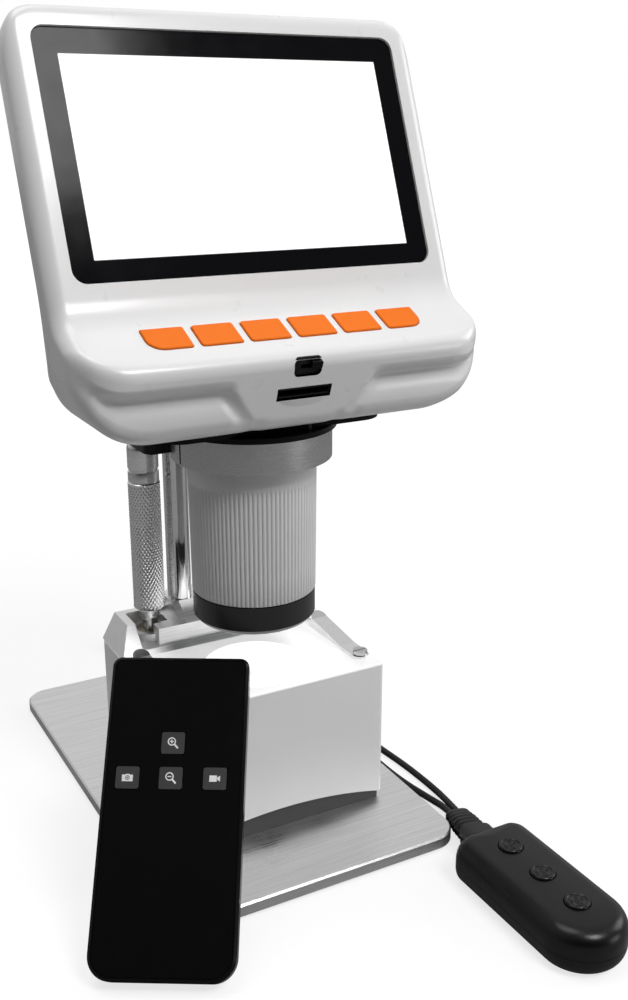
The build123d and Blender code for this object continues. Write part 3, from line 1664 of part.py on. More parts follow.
with BuildPart() as lamp_plug:
    with BuildSketch(Plane.XZ.offset(-box_back)):
        with Locations((socket_centre_x, socket_centre_z)):
            Circle(plug_radius)
    extrude(amount=-plug_length)
    chamfer(lamp_plug.edges().group_by(Axis.Y)[-1], plug_radius / 3)
    with BuildSketch(Plane.XZ.offset(-box_back)):
        with Locations((socket_centre_x, socket_centre_z)):
            Circle(plug_tip_radius)
    extrude(amount=plug_tip_length)
save(lamp_plug.part, "lamp_plug")


with BuildPart() as usb_cord_coil:
    with BuildSketch(Plane.XZ.offset(-coil_y)):
        with Locations((coil_x + coil_mid_radius, coil_height / 2)):
            RectangleRounded(2 * coil_half_width, coil_height, coil_height / 2.5)
    revolve(axis=Axis((coil_x, coil_y, 0), (0, 0, 1)))
    with BuildSketch(Plane.XZ.offset(-coil_y)):
        with Locations((usb_end.X, usb_end.Z)):
            Circle(cord_radius)
    extrude(amount=coil_stub)
    with BuildSketch(Plane.YZ.offset(coil_x)):
        with Locations((coil_y + coil_mid_radius, usb_plug_height / 2)):
            Circle(cord_radius)
    extrude(amount=-coil_stub)
save(usb_cord_coil.part, "usb_cord_coil")


with BuildPart() as usb_plug:
    with BuildSketch(Plane.YZ.offset(coil_x - coil_stub)):
        with Locations((coil_y + coil_mid_radius, usb_plug_height / 2)):
            RectangleRounded(usb_plug_width, usb_plug_height, usb_plug_height / 4)
    extrude(amount=-usb_plug_length)
    chamfer(usb_plug.edges().group_by(Axis.X)[-1], usb_plug_height / 6)
    with BuildSketch(Plane.YZ.offset(coil_x - coil_stub - usb_plug_length)):
        with Locations((coil_y + coil_mid_radius, usb_plug_height / 2)):
            Rectangle(usb_shell_width, usb_shell_height)
    extrude(amount=-usb_shell_length)
    with BuildSketch(Plane.YZ.offset(coil_x - coil_stub - usb_plug_length)):
        with Locations((coil_y + coil_mid_radius, usb_plug_height / 2 + usb_shell_height / 5)):
            Rectangle(usb_shell_width - 1, usb_shell_height / 2)
    extrude(amount=-usb_shell_length, mode=Mode.SUBTRACT)
save(usb_plug.part, "usb_plug")
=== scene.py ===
import math

import bpy
import numpy as np
from mathutils import Matrix, Vector


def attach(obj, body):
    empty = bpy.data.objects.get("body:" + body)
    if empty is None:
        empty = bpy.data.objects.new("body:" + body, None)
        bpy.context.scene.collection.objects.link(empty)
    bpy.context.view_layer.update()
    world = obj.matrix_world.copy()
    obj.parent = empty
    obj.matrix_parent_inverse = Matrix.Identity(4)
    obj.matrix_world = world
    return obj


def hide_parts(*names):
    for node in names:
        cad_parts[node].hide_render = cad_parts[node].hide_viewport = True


MM = 0.001
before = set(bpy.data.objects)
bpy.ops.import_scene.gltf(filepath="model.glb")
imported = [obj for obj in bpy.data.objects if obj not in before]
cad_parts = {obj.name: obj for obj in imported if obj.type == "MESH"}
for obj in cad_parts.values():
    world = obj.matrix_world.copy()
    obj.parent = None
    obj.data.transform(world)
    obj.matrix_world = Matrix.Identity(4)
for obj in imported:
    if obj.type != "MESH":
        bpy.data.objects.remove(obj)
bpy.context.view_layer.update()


def add(name, data):
    """An object round its mesh, curve, lamp or camera, linked to the scene."""
    piece = bpy.data.objects.new(name, data)
    bpy.context.scene.collection.objects.link(piece)
    return piece


# ------------------------------------------------------------------ camera
yaw, pitch = math.radians(28.74), math.radians(18.0)
lens = bpy.data.cameras.new("front_left_view")
lens.lens = 41.75
lens.sensor_width = 36.0
lens.clip_start = 0.01
camera = add("front_left_view", lens)
camera.matrix_world = (
    Matrix.Translation(Vector((-142.2, -297.4, 213.4)) * MM)
    @ Matrix.Rotation(-yaw, 4, "Z")
    @ Matrix.Rotation(math.pi / 2 - pitch, 4, "X")
)
bpy.context.scene.camera = camera


# ------------------------------------------------------------------ material kit
def begin(name):
    """A material with its shader and the piece's own Object coordinates."""
    material = bpy.data.materials.new(name)
    material.use_nodes = True
    tree = material.node_tree
    place = tree.nodes.new("ShaderNodeTexCoord").outputs["Object"]
    return material, tree, tree.nodes["Principled BSDF"], place


def grain(tree, place, size, detail=2.0, stretch=(1, 1, 1)):
    """Cloudy noise with features of that size in millimetres, drawn out along any axis by its stretch."""
    scaled = tree.nodes.new("ShaderNodeMapping")
    scaled.inputs["Scale"].default_value = [1.0 / s for s in stretch]
    tree.links.new(place, scaled.inputs["Vector"])
    noise = tree.nodes.new("ShaderNodeTexNoise")
    noise.inputs["Scale"].default_value = 1000.0 / size
    noise.inputs["Detail"].default_value = detail
    tree.links.new(scaled.outputs["Vector"], noise.inputs["Vector"])
    return noise.outputs["Fac"]


def ramp(tree, value, start, stop, low=0.0, high=1.0, way="LINEAR"):
    """Low where the value is at the start, high where it is at the stop, held beyond both."""
    node = tree.nodes.new("ShaderNodeMapRange")
    node.interpolation_type = way
    for socket, level in zip(("From Min", "From Max", "To Min", "To Max"), (start, stop, low, high)):
        node.inputs[socket].default_value = level
    tree.links.new(value, node.inputs["Value"])
    return node.outputs["Result"]


def spread(tree, factor, low, high):
    """The noise's middle range stretched to run from low to high."""
    return ramp(tree, factor, 0.3, 0.7, low, high)


def reckon(tree, operation, *values):
    """Result of a Math node whose inputs are sockets or numbers."""
    node = tree.nodes.new("ShaderNodeMath")
    node.operation = operation
    for socket, value in zip(node.inputs, values):
        if isinstance(value, bpy.types.NodeSocket):
            tree.links.new(value, socket)
        else:
            socket.default_value = value
    return node.outputs[0]


def tint(tree, factor, dark, light, socket):
    """Blends two colours by a factor into a colour socket."""
    mix = tree.nodes.new("ShaderNodeMix")
    mix.data_type = "RGBA"
    mix.inputs["A"].default_value = (*dark, 1)
    mix.inputs["B"].default_value = (*light, 1)
    tree.links.new(factor, mix.inputs["Factor"])
    tree.links.new(mix.outputs["Result"], socket)


def emboss(tree, shader, height, depth):
    """Raises the surface by that many millimetres where the height factor is one."""
    node = tree.nodes.new("ShaderNodeBump")
    node.inputs["Distance"].default_value = depth * MM
    tree.links.new(height, node.inputs["Height"])
    tree.links.new(node.outputs["Normal"], shader.inputs["Normal"])


def shade(colour, by):
    return tuple(min(1.0, c * by) for c in colour)


def moulded(name, colour, roughness, size=0.5, depth=0.01, coat=0.0, mottle=0.03, specular=0.5):
    """Moulded plastic or rubber: fine spark-eroded grain, slow gloss changes and a faint tone drift."""
    material, tree, shader, place = begin(name)
    fine = grain(tree, place, size, 3.0)
    broad = grain(tree, place, 22.0, 2.0)
    tint(
        tree,
        spread(tree, broad, 0.0, 1.0),
        shade(colour, 1 - mottle),
        shade(colour, 1 + mottle),
        shader.inputs["Base Color"],
    )
    tree.links.new(
        spread(tree, grain(tree, place, 6.0, 4.0), roughness * 0.9, roughness * 1.1),
        shader.inputs["Roughness"],
    )
    shader.inputs["Coat Weight"].default_value = coat
    shader.inputs["Coat Roughness"].default_value = 0.12
    shader.inputs["Specular IOR Level"].default_value = specular
    emboss(tree, shader, fine, depth)
    return material


def metal(name, colour, roughness, line=0.18, stretch=(1, 1, 1), depth=0.006, streak=0.12):
    """Cut or brushed metal: fine lines drawn out along the working direction change tone, gloss and height."""
    material, tree, shader, place = begin(name)
    lines = grain(tree, place, line, 3.0, stretch)
    cloud = grain(tree, place, 14.0, 3.0)
    shader.inputs["Metallic"].default_value = 1.0
    tint(
        tree,
        spread(tree, lines, 0.0, 1.0),
        shade(colour, 1 - streak),
        shade(colour, 1 + streak),
        shader.inputs["Base Color"],
    )
    polish = spread(tree, lines, roughness * 0.55, roughness * 0.95)
    rough = reckon(tree, "ADD", polish, spread(tree, cloud, 0.0, roughness * 0.4))
    tree.links.new(rough, shader.inputs["Roughness"])
    emboss(tree, shader, lines, depth)
    return material


def clear(name, colour, roughness=0.03):
    """Clear glass or plastic with a faint sweep in its polish."""
    material, tree, shader, place = begin(name)
    tint(
        tree, grain(tree, place, 9.0), shade(colour, 0.97), shade(colour, 1.0), shader.inputs["Base Color"]
    )
    tree.links.new(
        spread(tree, grain(tree, place, 4.0), roughness * 0.6, roughness * 1.6), shader.inputs["Roughness"]
    )
    shader.inputs["Transmission Weight"].default_value = 1.0
    shader.inputs["IOR"].default_value = 1.5
    return material


def printed_board(name):
    """Green solder mask over copper: raised, lighter tracks run between squarish cells."""
    material, tree, shader, place = begin(name)
    tracks = tree.nodes.new("ShaderNodeTexVoronoi")
    tracks.distance = "CHEBYCHEV"
    tracks.inputs["Scale"].default_value = 420.0
    tree.links.new(place, tracks.inputs["Vector"])
    step = reckon(tree, "GREATER_THAN", tracks.outputs["Distance"], 0.42)
    tint(tree, step, (0.01, 0.10, 0.04), (0.03, 0.19, 0.07), shader.inputs["Base Color"])
    tree.links.new(spread(tree, grain(tree, place, 2.0), 0.3, 0.45), shader.inputs["Roughness"])
    emboss(tree, shader, step, 0.03)
    return material


def painted_glow_top(name, colour):
    """White moulded plastic with a faint painted glow on its upper side, standing in for the window's light
    flooding it: emission above the box's top edge, strongest near the window's axis."""
    material = moulded(name, colour, 0.32, 0.6, 0.004, 0.25, 0.012)
    tree = material.node_tree
    shader = tree.nodes["Principled BSDF"]
    parts = tree.nodes.new("ShaderNodeSeparateXYZ")
    tree.links.new(tree.nodes["Texture Coordinate"].outputs["Object"], parts.inputs[0])
    flat = tree.nodes.new("ShaderNodeCombineXYZ")
    tree.links.new(parts.outputs["X"], flat.inputs["X"])
    tree.links.new(parts.outputs["Y"], flat.inputs["Y"])
    away = tree.nodes.new("ShaderNodeVectorMath")
    away.operation = "LENGTH"
    tree.links.new(flat.outputs[0], away.inputs[0])
    # Painted glow: emission on the shell's top that stands in for the window's light, fading away from the
    # window's axis and below the top edge.
    near = ramp(tree, away.outputs["Value"], 0.018, 0.062, 0.42, 0.10, "SMOOTHSTEP")
    high = ramp(tree, parts.outputs["Z"], 0.0518, 0.0527)
    shader.inputs["Emission Color"].default_value = (1, 1, 1, 1)
    tree.links.new(reckon(tree, "MULTIPLY", near, high), shader.inputs["Emission Strength"])
    return material


def lit_window(name):
    """Opal diffuser with the lamps on behind it, evenly bright."""
    material, tree, shader, place = begin(name)
    tint(
        tree,
        grain(tree, place, 5.0),
        (0.84, 0.84, 0.84),
        (0.88, 0.88, 0.88),
        shader.inputs["Base Color"],
    )
    tree.links.new(spread(tree, grain(tree, place, 0.6), 0.4, 0.6), shader.inputs["Roughness"])
    shader.inputs["Emission Color"].default_value = (1, 1, 1, 1)
    shader.inputs["Emission Strength"].default_value = 0.9
    emboss(tree, shader, grain(tree, place, 0.4), 0.008)
    return material


# The head's planes in side view, (Y, Z) in millimetres and slopes in radians
TILT, SHELF_SLOPE, APRON_SLOPE = math.radians(21.8), math.radians(25), 0.3458
FACE_MIDDLE, CREASE, LIP = (2.12, 205.65), (-14.59, 166.02), (-36.4, 155.94)
FACE_CENTRE = Vector((0.0, *FACE_MIDDLE)) * MM
FACE_UP = Vector((0.0, math.sin(TILT), math.cos(TILT)))
PICTURE_WIDTH, PICTURE_HEIGHT, PICTURE_UP = 94.4, 54.0, -0.4


def screen_cover(name):
    """Glossy black border printed behind the glass round a lit white picture area, by distance across the face."""
    material, tree, shader, place = begin(name)

    def along(axis, centre, half):
        """One inside the half width of the picture along an axis, nought outside it."""
        dot = tree.nodes.new("ShaderNodeVectorMath")
        dot.operation = "DOT_PRODUCT"
        dot.inputs[1].default_value = axis
        tree.links.new(place, dot.inputs[0])
        off = reckon(tree, "ABSOLUTE", reckon(tree, "SUBTRACT", dot.outputs["Value"], centre))
        return ramp(tree, off, half + 0.15 * MM, half - 0.15 * MM)

    across = along((1, 0, 0), 0.0, 0.5 * PICTURE_WIDTH * MM)
    up = along(FACE_UP, FACE_CENTRE.dot(FACE_UP) + PICTURE_UP * MM, 0.5 * PICTURE_HEIGHT * MM)
    lit = reckon(tree, "MULTIPLY", across, up)
    tint(tree, lit, (0.004, 0.004, 0.005), (0.80, 0.80, 0.80), shader.inputs["Base Color"])
    tint(tree, lit, (0, 0, 0), (1, 1, 1), shader.inputs["Emission Color"])
    shader.inputs["Emission Strength"].default_value = 0.75
    tree.links.new(spread(tree, grain(tree, place, 8.0), 0.10, 0.16), shader.inputs["Roughness"])
    shader.inputs["Specular IOR Level"].default_value = 0.12
    return material


def grey(level):
    return (level, level, level)


finish = {
    "anti_slip_rubber": moulded("anti_slip_rubber", grey(0.02), 0.8, 0.7, 0.03),
    "plate_metal": metal("plate_metal", grey(0.82), 0.36, 0.16, (160, 1, 1), 0.008, 0.14),
    "plinth_plastic": moulded("plinth_plastic", grey(0.05), 0.5),
    "white_plastic": painted_glow_top("white_plastic", grey(0.92)),
    "frosted_window": lit_window("frosted_window"),
    "circuit_board": printed_board("circuit_board"),
    "socket_plastic": moulded("socket_plastic", grey(0.004), 0.4, 0.5, 0.01, 0.0, 0.03, 0.2),
    "clip_steel": metal("clip_steel", grey(0.85), 0.22, 0.10, (1, 60, 1)),
    "screw_steel": metal("screw_steel", grey(0.62), 0.3, 0.12),
    "saddle_metal": metal("saddle_metal", grey(0.88), 0.4, 0.25, (60, 1, 1)),
    "nut_brass": metal("nut_brass", (0.50, 0.46, 0.38), 0.3, 0.12),
    "rod_steel": metal("rod_steel", grey(0.72), 0.12, 0.10, (90, 90, 1), 0.001, 0.05),
    "knurled_metal": metal("knurled_metal", grey(0.80), 0.26, 0.15, (90, 90, 1), 0.003, 0.08),
    "carriage_black": moulded("carriage_black", grey(0.006), 0.4, 0.4, 0.006, 0.0, 0.03, 0.2),
    "holder_metal": metal("holder_metal", grey(0.50), 0.28, 0.12, (90, 90, 1), 0.004, 0.10),
    "focus_grey": moulded("focus_grey", grey(0.70), 0.5, 0.3, 0.008, 0.0, 0.02),
    "barrel_black": moulded("barrel_black", grey(0.012), 0.3, 0.4, 0.004),
    "clear_cover": clear("clear_cover", (0.95, 0.97, 0.98)),
    "lens_glass": clear("lens_glass", (0.86, 0.93, 0.97), 0.015),
    "head_white": moulded("head_white", grey(0.80), 0.30, 0.7, 0.004, 0.3, 0.01),
    "screen_glass": screen_cover("screen_glass"),
    "lcd": moulded("lcd", (0.03, 0.035, 0.04), 0.25),
    "key_orange": moulded("key_orange", (0.86, 0.175, 0.008), 0.5, 0.25, 0.006, 0.0, 0.02, 0.15),
    "black_plastic": moulded("black_plastic", grey(0.003), 0.22, 0.4, 0.002, 0.0, 0.03, 0.12),
    "remote_key": moulded("remote_key", (0.034, 0.034, 0.036), 0.45, 0.25, 0.006),
    "controller_black": moulded("controller_black", grey(0.004), 0.30, 0.35, 0.012, 0.0, 0.03, 0.35),
    "cord_rubber": moulded("cord_rubber", grey(0.005), 0.42, 0.5, 0.01, 0.0, 0.03, 0.3),
}
white_print = moulded("white_print", grey(0.86), 0.5, 0.2, 0.004)

nodes_by_finish = {
    "anti_slip_rubber": ["base_pad"],
    "plate_metal": ["base_plate"],
    "plinth_plastic": ["light_box_plinth"],
    "white_plastic": ["light_box_shell"],
    "frosted_window": ["stage_window"],
    "circuit_board": ["light_board", "main_board", "key_board", "sensor_board", "ring_light_board"],
    "socket_plastic": ["power_socket", "card_socket", "switch_body"],
    "clip_steel": ["stage_clip_left", "stage_clip_right"],
    "screw_steel": ["stage_clip_screws", "holder_screw", "lift_screw"],
    "saddle_metal": ["column_saddle"],
    "nut_brass": ["lift_nut"],
    "rod_steel": ["guide_rods"],
    "knurled_metal": ["lift_handle"],
    "carriage_black": ["carriage_block"],
    "holder_metal": ["holder_ring"],
    "focus_grey": ["focus_ring"],
    "barrel_black": ["end_ring", "lens_cell", "head_screws"],
    "clear_cover": ["front_cover"],
    "lens_glass": ["lens_glass"],
    "head_white": ["head_front_shell", "head_rear_shell"],
    "screen_glass": ["screen_glass"],
    "lcd": ["lcd_panel"],
    "key_orange": [f"screen_key_{i}" for i in range(1, 7)],
    "black_plastic": ["remote_case", "remote_faceplate", "power_slider", "neck_plate", "barrel_core"],
    "remote_key": ["remote_zoom_in_key", "remote_photo_key", "remote_zoom_out_key", "remote_video_key"],
    "controller_black": ["controller_upper_case", "controller_lower_case"]
    + [f"controller_key_{i}" for i in range(1, 4)],
    "cord_rubber": ["cord_relief", "lamp_cord", "lamp_plug", "usb_cord", "usb_cord_coil", "usb_plug"],
}
for look, names in nodes_by_finish.items():
    for name in names:
        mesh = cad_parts[name].data
        mesh.materials.clear()
        mesh.materials.append(finish[look])


# ------------------------------------------------------------------ surface kit
def skin(name, points, material, body, close_rows=False, sharp=35):
    """Mesh over a grid of points in millimetres, a quad between neighbours. The last column joins the first, and
    the last row too where rows close. Columns run anticlockwise seen from outside while rows climb, so faces look
    outwards."""
    rows, columns = points.shape[:2]
    index = np.arange(rows * columns).reshape(rows, columns)
    if close_rows:
        index = np.vstack([index, index[:1]])
    index = np.hstack([index, index[:, :1]])
    quads = np.stack([index[:-1, :-1], index[:-1, 1:], index[1:, 1:], index[1:, :-1]], -1).reshape(-1, 4)
    mesh = bpy.data.meshes.new(name)
    mesh.from_pydata((points.reshape(-1, 3) * MM).tolist(), [], quads.tolist())
    mesh.polygons.foreach_set("use_smooth", np.ones(len(mesh.polygons), bool))
    mesh.set_sharp_from_angle(angle=math.radians(sharp))
    mesh.materials.append(material)
    piece = add(name, mesh)
    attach(piece, body)
    return piece


def lathe(profile, columns, centre, ripple=None):
    """Points of a turned form: each (radius, height) of the profile carried round the vertical axis through
    centre, plus a ripple of radius that depends on angle and height."""
    profile = np.asarray(profile, float)
    angle = np.linspace(0, 2 * np.pi, columns, endpoint=False)
    radius = np.repeat(profile[:, :1], columns, 1)
    height = np.repeat(profile[:, 1:], columns, 1)
    if ripple is not None:
        radius = radius + ripple(angle[None, :], height)
    return np.stack([centre[0] + radius * np.cos(angle), centre[1] + radius * np.sin(angle), height], -1)


# ------------------------------------------------------------------ cords
def thread(name, points, diameter, material):
    """A round cord on a smooth quadratic spline whose control points are given in millimetres."""
    line = bpy.data.curves.new(name, "CURVE")
    line.dimensions = "3D"
    line.bevel_depth = diameter * MM / 2
    line.bevel_resolution = 5
    line.resolution_u = 10
    line.use_fill_caps = True
    run = line.splines.new("NURBS")
    run.points.add(len(points) - 1)
    points = np.asarray(points, float) * MM
    run.points.foreach_set("co", np.hstack([points, np.ones((len(points), 1))]).ravel())
    run.order_u = 3
    run.use_endpoint_u = True
    line.materials.append(material)
    piece = add(name, line)
    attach(piece, "stand")
    return piece


CORD = 2.2
lamp_route = [
    (53.398, -37.790, 3.065),
    (55.1, -31.0, 1.9),
    (56.6, -20.0, 1.2),
    (56.2, -2.0, 1.25),
    (54.2, 16.0, 1.2),
    (53.7, 36.0, 1.25),
    (53.4, 52.0, 1.5),
    (50.8, 65.0, 6.4),
    (41.5, 75.5, 6.3),
    (30.0, 78.5, 9.0),
    (23.0, 71.5, 15.0),
    (22.0, 63.0, 20.0),
    (22.0, 54.0, 20.0),
]
usb_route = [
    (51.166, -37.234, 3.065),
    (52.7, -31.0, 1.9),
    (51.8, -22.5, 1.2),
    (49.5, -10.0, 1.25),
    (48.9, 6.0, 1.2),
    (49.4, 28.0, 1.25),
    (49.2, 56.0, 1.2),
    (50.6, 80.0, 1.25),
    (58.7, 98.5, 1.2),
]


def wound(centre, inner, columns, per_turn=16):
    """A put-away coil: the cord winds inwards on the floor, outwards on a second layer, and part of a turn back
    on a third. Radius falls or grows by one cord a turn, and the height steps up a cord in a third of a turn."""
    gap = CORD + 0.04
    outer = inner + (columns - 1) * gap
    full = columns - 1.0
    marks = np.cumsum([0.0, full, 0.35, full, 0.35, 0.55 + (0.3 - (2 * full + 1.25) % 1.0) % 1.0])
    marks[-1] = np.round(marks[-1] - 0.25) + 0.25
    turn = np.arange(0.0, marks[-1] + 1e-6, 1.0 / per_turn)
    end = outer - gap * (marks[-1] - marks[-2])
    radius = np.interp(turn, marks, [outer, inner, inner, outer, outer, end])
    low, high = 1.2, 1.2 + 2 * (CORD + 0.02)
    height = np.interp(turn, marks, [low, low, (low + high) / 2, (low + high) / 2, high, high])
    angle = 2 * np.pi * turn
    return np.stack([centre[0] + radius * np.cos(angle), centre[1] + radius * np.sin(angle), height], -1)


coil = wound((46.0, 128.0), 9.35, 4)
coil_exit = coil[-1]
usb_line = np.vstack(
    [
        usb_route,
        [(61.4, 110.5, 1.2), (62.0, 120.0, 1.2)],
        coil,
        [
            (coil_exit[0] - 6.0, coil_exit[1], 5.6),
            (35.5, 141.6, 5.0),
            (31.5, 140.7, 3.9),
            (28.5, 140.7, 3.9),
        ],
    ]
)
PLUG = (140.7, 3.9)


def plug_section(width, height, count=32):
    """Cross-section of the plug, a squared-off oval: |2y/width|^4 + |2z/height|^4 = 1 about its middle."""
    angle = np.linspace(0, 2 * np.pi, count, endpoint=False)
    across, up = np.cos(angle), np.sin(angle)
    reach = (np.abs(across) ** 4 + np.abs(up) ** 4) ** -0.25
    return PLUG[0] + width / 2 * reach * across, PLUG[1] + height / 2 * reach * up


def plug_lines(stations):
    """Closed form from (x, width, height) stations, each a squared-off oval, with its ends drawn to a point."""
    first, last = stations[0], stations[-1]
    rows = [(first[0], 0.0, 0.0), *stations, (last[0], 0.0, 0.0)]
    lines = []
    for x, width, height in rows[::-1]:
        y, z = plug_section(width, height)
        lines.append(np.stack([np.full_like(y, x), y, z], -1))
    return np.stack(lines)


collar = []
for ring in range(4):
    start = 28.4 - 1.3 * ring
    thick = 3.8 + 0.55 * ring
    collar += [(start, thick, thick), (start - 0.75, thick, thick)]
    collar += [(start - 0.8, 2.9, 2.9), (start - 1.25, 2.9, 2.9)]
usb_grip = skin(
    "usb_grip",
    plug_lines(
        collar
        + [
            (23.2, 9.0, 6.2),
            (22.6, 12.6, 7.0),
            (21.4, 14.2, 7.5),
            (19.0, 14.9, 7.7),
            (18.9, 14.0, 7.3),
            (18.3, 14.0, 7.3),
            (18.2, 14.9, 7.7),
            (16.6, 14.9, 7.7),
            (16.5, 14.0, 7.3),
            (15.9, 14.0, 7.3),
            (15.8, 14.9, 7.7),
            (14.0, 14.9, 7.7),
            (12.6, 14.6, 7.5),
            (12.2, 14.0, 7.0),
        ]
    ),
    finish["cord_rubber"],
    "stand",
)
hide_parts("usb_plug")
OUTER, INNER = (12.0, 4.5), (11.0, 3.5)
tube = plug_lines([(12.4, *OUTER), (1.2, *OUTER), (1.2, *INNER), (12.0, *INNER)])[1:-1]
usb_shell = skin("usb_shell", tube, finish["clip_steel"], "stand", close_rows=True)
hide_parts("usb_plug")
lamp_cord = thread("lamp_lead", lamp_route, CORD, finish["cord_rubber"])
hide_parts("lamp_cord")
usb_cord = thread("usb_lead", usb_line, CORD, finish["cord_rubber"])
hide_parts("usb_cord", "usb_cord_coil")


def run_length(piece):
    """Length in metres of the spline itself, from a copy with no thickness."""
    bare = piece.data.copy()
    bare.bevel_depth = 0.0
    probe = bpy.data.objects.new("probe", bare)
    line = bpy.data.meshes.new_from_object(probe)
    co = np.zeros(len(line.vertices) * 3)
    line.vertices.foreach_get("co", co)
    co = co.reshape(-1, 3)
    bpy.data.objects.remove(probe)
    return float(np.linalg.norm(np.diff(co, axis=0), axis=1).sum())


round(run_length(usb_cord), 3)


# ------------------------------------------------------------------ knurled lift handle
HANDLE = (-21.9, 33.0)


def knurl(angle, height):
    """Diamond knurl: two opposed sets of 27 helical ridges; the height above the root is the smaller of two
    triangle waves, and it fades out at the chamfered ends of the knurled length."""
    climb = (height - 64.35) / 1.9
    first = np.abs((angle * 27 / (2 * np.pi) + climb) % 1.0 - 0.5) * 2
    second = np.abs((angle * 27 / (2 * np.pi) - climb) % 1.0 - 0.5) * 2
    ends = np.clip(np.minimum(height - 64.75, 106.6 - height) / 0.4, 0, 1)
    return -0.34 * np.maximum(first, second) * ends


knurl_rows = np.linspace(64.85, 106.45, 132)
handle_profile = np.vstack(
    [
        [(2.5, 60.8), (3.3, 60.8), (3.4, 60.95), (3.4, 64.2), (3.6, 64.35), (4.6, 64.35), (5.05, 64.75)],
        np.stack([np.full(knurl_rows.size, 5.1), knurl_rows], -1),
        [
            (5.05, 106.6),
            (4.65, 106.95),
            (4.7, 107.1),
            (4.85, 107.3),
            (4.85, 110.2),
            (4.8, 110.35),
            (4.45, 110.5),
            (4.45, 111.2),
            (4.8, 111.35),
            (4.85, 111.5),
            (4.85, 117.4),
            (4.82, 117.9),
            (4.66, 118.6),
            (4.36, 119.3),
            (3.94, 119.95),
            (3.5, 120.45),
            (3.0, 120.8),
            (2.7, 120.9),
            (2.5, 120.9),
        ],
    ]
)
handle = skin(
    "knurled_handle",
    lathe(handle_profile, 162, HANDLE, knurl),
    finish["knurled_metal"],
    "lift_knob",
    close_rows=True,
)
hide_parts("lift_handle")


# ------------------------------------------------------------------ ribbed focus grip
def ribs(angle, height):
    """Ninety round ribs: a narrow valley between neighbours is a cosine to the fifth power, and it
    runs out in a quarter circle at the upper end of the ribs."""
    valley = np.abs(np.cos(angle * 45.0)) ** 5
    fade = np.sqrt(np.clip(1 - ((np.clip(height, 112.8, 114.2) - 112.8) / 1.4) ** 2, 0, 1))
    outside = (height < 114.3) & (height > 79.6)
    return -0.42 * valley * fade * outside


grip_rows = [
    (17.2, 79.45),
    (18.35, 79.45),
    (18.6, 79.62),
    (18.76, 79.9),
    (18.85, 88.0),
    (18.95, 98.0),
    (19.03, 106.0),
    (19.08, 112.0),
    (19.08, 112.8),
    (19.08, 113.2),
    (19.09, 113.6),
    (19.09, 113.9),
    (19.09, 114.1),
    (19.1, 114.25),
    (19.1, 116.0),
    (19.1, 120.0),
    (19.0, 120.35),
    (18.75, 120.55),
    (17.2, 120.55),
]
grip = skin(
    "ribbed_focus_grip",
    lathe(grip_rows, 900, (0.0, 0.0), ribs),
    finish["focus_grey"],
    "focus_grip",
    close_rows=True,
    sharp=50,
)
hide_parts("focus_ring")


# ------------------------------------------------------------------ strain relief
UNIT_X, UNIT_END = 46.8, -59.5
UNIT_KEYS = [(UNIT_X, UNIT_END - 12.0 - 14.4 * k) for k in range(3)]


def sleeve():
    """Rubber sleeve carried along the slanted exit line: a squarish section, a superellipse, whose width and
    height taper to the two leads, with five rounded grooves from 9.2 to 21.2 mm along it."""
    start = np.array([UNIT_X, UNIT_END, 7.0])
    along = np.array([0.23836, 0.95599, -0.17109])
    side = np.array([0.97030, -0.24193, 0.0])
    up = np.cross(side, along)
    s = np.linspace(0.02, 22.9, 120)
    width = np.interp(s, [0, 7.0, 7.8, 16, 22.9], [5.3, 5.2, 4.5, 4.3, 3.9])
    tall = np.interp(s, [0, 7.0, 7.8, 16, 22.9], [4.1, 4.0, 3.3, 3.1, 2.4])
    groove = (0.5 - 0.5 * np.cos(2 * np.pi * (s - 9.2) / 2.4)) ** 0.6
    neck = 1 - 0.09 * np.where((s > 9.2) & (s < 21.2), groove, 0)
    width, tall = width * neck, tall * neck
    ends = np.clip(np.minimum(s - 0.02, 22.9 - s) / 0.5, 0, 1)
    width = width - 0.5 * (1 - np.sqrt(1 - (1 - ends) ** 2))
    tall = tall - 0.5 * (1 - np.sqrt(1 - (1 - ends) ** 2))
    angle = np.linspace(0, 2 * np.pi, 48, endpoint=False)
    c, n = np.cos(angle), np.sin(angle)
    power = 0.62
    across = np.sign(c) * np.abs(c) ** power
    above = np.sign(n) * np.abs(n) ** power
    body = (
        start
        + s[:, None, None] * along
        + (width[:, None] * across)[..., None] * side
        + (tall[:, None] * above)[..., None] * up
    )
    first = np.repeat(body[:1].mean(1, keepdims=True), 48, 1)
    last = np.repeat(body[-1:].mean(1, keepdims=True), 48, 1)
    return np.concatenate([first, body, last], 0)[:, ::-1]


relief = skin("tapered_relief", sleeve(), finish["cord_rubber"], "stand", sharp=60)
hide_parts("cord_relief")


# ------------------------------------------------------------------ embossed controller keys
key_profile = [
    *[(0.001, 12.6), (3.58, 12.6), (3.58, 13.2), (3.55, 14.1), (3.4, 14.35), (3.2, 14.55), (2.95, 14.6)],
    *[(2.75, 14.48), (2.6, 14.34), (2.4, 14.34), (2.0, 14.36), (1.85, 14.5), (1.6, 14.58), (1.4, 14.5)],
    *[(1.25, 14.34), (0.85, 14.34), (0.6, 14.42), (0.35, 14.56), (0.001, 14.55)],
]
for number, centre in enumerate(UNIT_KEYS, 1):
    key = skin(
        f"embossed_key_{number}",
        lathe(key_profile, 64, centre),
        finish["controller_black"],
        f"controller_button_{number}",
        sharp=70,
    )
    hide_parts(f"controller_key_{number}")

# ------------------------------------------------------------------ symbols on the remote's keys
REMOTE_FOOT = np.array([-59.6, -64.68, 4.35])
turn, lean = math.radians(-30.35), math.radians(42.0)
REMOTE_X = np.array([math.cos(turn), math.sin(turn), 0.0])
REMOTE_OUT = np.array(
    [math.cos(lean) * math.sin(turn), -math.cos(lean) * math.cos(turn), math.sin(lean)]
)
REMOTE_UP = np.cross(REMOTE_OUT, REMOTE_X)


